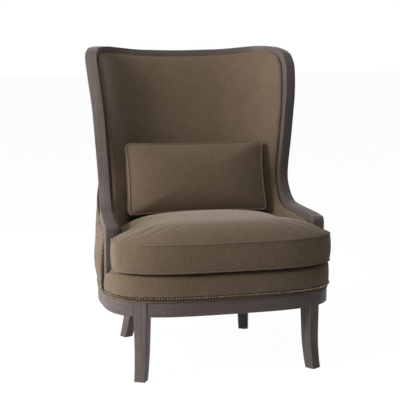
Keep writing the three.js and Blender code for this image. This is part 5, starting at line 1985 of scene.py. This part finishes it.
@dataclass
class Studio:
    """Camera, lamps, floor and backdrop: a key and a wide panel from the left, a weak lamp above."""

    shift: float
    azimuth: float = math.radians(-15.313)
    elevation: float = math.radians(8.178)
    eye: tuple[float, float, float] = (-1.11044, -3.98793, 1.16110)
    focal_pixels: float = 1150.0
    photo_width: float = 400.0
    sensor: float = 36.0
    fill: float = 0.015
    floor_reach: float = 30.0
    floor_tone: float = 0.9
    floor_glow: float = 1.08
    glow_share: float = 0.90
    lamps: tuple[Lamp, ...] = (
        Lamp("key", -64, 25, 4.2, 1.0, 79, (1.0, 0.98, 0.95)),
        Lamp("side", -90, 15, 3.4, 2.4, 92, (1.0, 1.0, 1.0)),
        Lamp("above", -20, 72, 3.2, 2.0, 31, (1.0, 0.99, 0.98)),
    )

    def build(self) -> None:
        """Sets up the view and the light."""
        self.camera()
        self.world()
        self.floor()
        for lamp in self.lamps:
            lamp.build()
        bpy.context.scene.view_settings.view_transform = "Standard"

    def camera(self) -> None:
        """A level camera at the photograph's angle."""
        data = bpy.data.cameras.new("photo_camera")
        data.sensor_width = self.sensor
        data.lens = self.focal_pixels / self.photo_width * self.sensor
        camera = bpy.data.objects.new("photo_camera", data)
        bpy.context.scene.collection.objects.link(camera)
        camera.location = Vector(self.eye) + Vector((0, self.shift, 0))
        camera.rotation_euler = toward(self.azimuth, self.elevation).to_track_quat("Z", "Y").to_euler()
        bpy.context.scene.camera = camera

    def world(self) -> None:
        """White where it is seen, and a soft grey fill elsewhere."""
        world = bpy.data.worlds.new("studio")
        tree = NodeTree(world)
        white = tree.nodes["Background"]
        tree.put(white.inputs["Color"], (1, 1, 1, 1))
        tree.put(white.inputs["Strength"], 1.0)
        fill = tree.add("Background", {"Color": (1.0, 0.99, 0.98, 1), "Strength": self.fill})
        tree.surface("World Output", tree.seen(), fill.outputs[0], white.outputs[0])
        bpy.context.scene.world = world

    def floor(self) -> None:
        """A wide white floor that keeps a faint shadow."""
        mesh = bpy.data.meshes.new("floor")
        corners = self.floor_reach * np.array([(-1, -1, 0), (1, -1, 0), (1, 1, 0), (-1, 1, 0)])
        mesh.from_pydata(corners.tolist(), [], [(0, 1, 2, 3)])
        floor = bpy.data.objects.new("floor", mesh)
        bpy.context.scene.collection.objects.link(floor)
        tree = NodeTree(bpy.data.materials.new("floor_white"))
        tree.shade(Base_Color=(*[self.floor_tone] * 3, 1), Roughness=0.9, Specular_IOR_Level=0.0)
        matt = tree.nodes["Principled BSDF"].outputs[0]
        glow = tree.add("Emission", {"Strength": self.floor_glow}).outputs[0]
        tree.surface("Material Output", tree.scaled(tree.seen(), self.glow_share), matt, glow)
        mesh.materials.append(tree.owner)


def main() -> None:
    """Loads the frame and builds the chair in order."""
    logging.basicConfig(level=logging.INFO, format="%(message)s")
    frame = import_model()
    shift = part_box("arm_post_right")[0][1] - Rim.front_y
    Studio(shift).build()
    finishes = Finishes()
    plan = BasePlan(shift)
    rim = Rim(shift)
    wall = Wall(plan, rim)
    ShowWood(rim, finishes.wood).build()
    BaseFrame(plan, finishes.wood).build()
    upholstery = Upholstery(wall, finishes)
    upholstery.build()
    Trim(wall, upholstery, finishes).build()
    SeatCushion(wall, finishes).build()
    LumbarPillow(finishes).build()
    HiddenFrame(finishes).build(frame["nodes"])


if __name__ == "__main__":
    main()
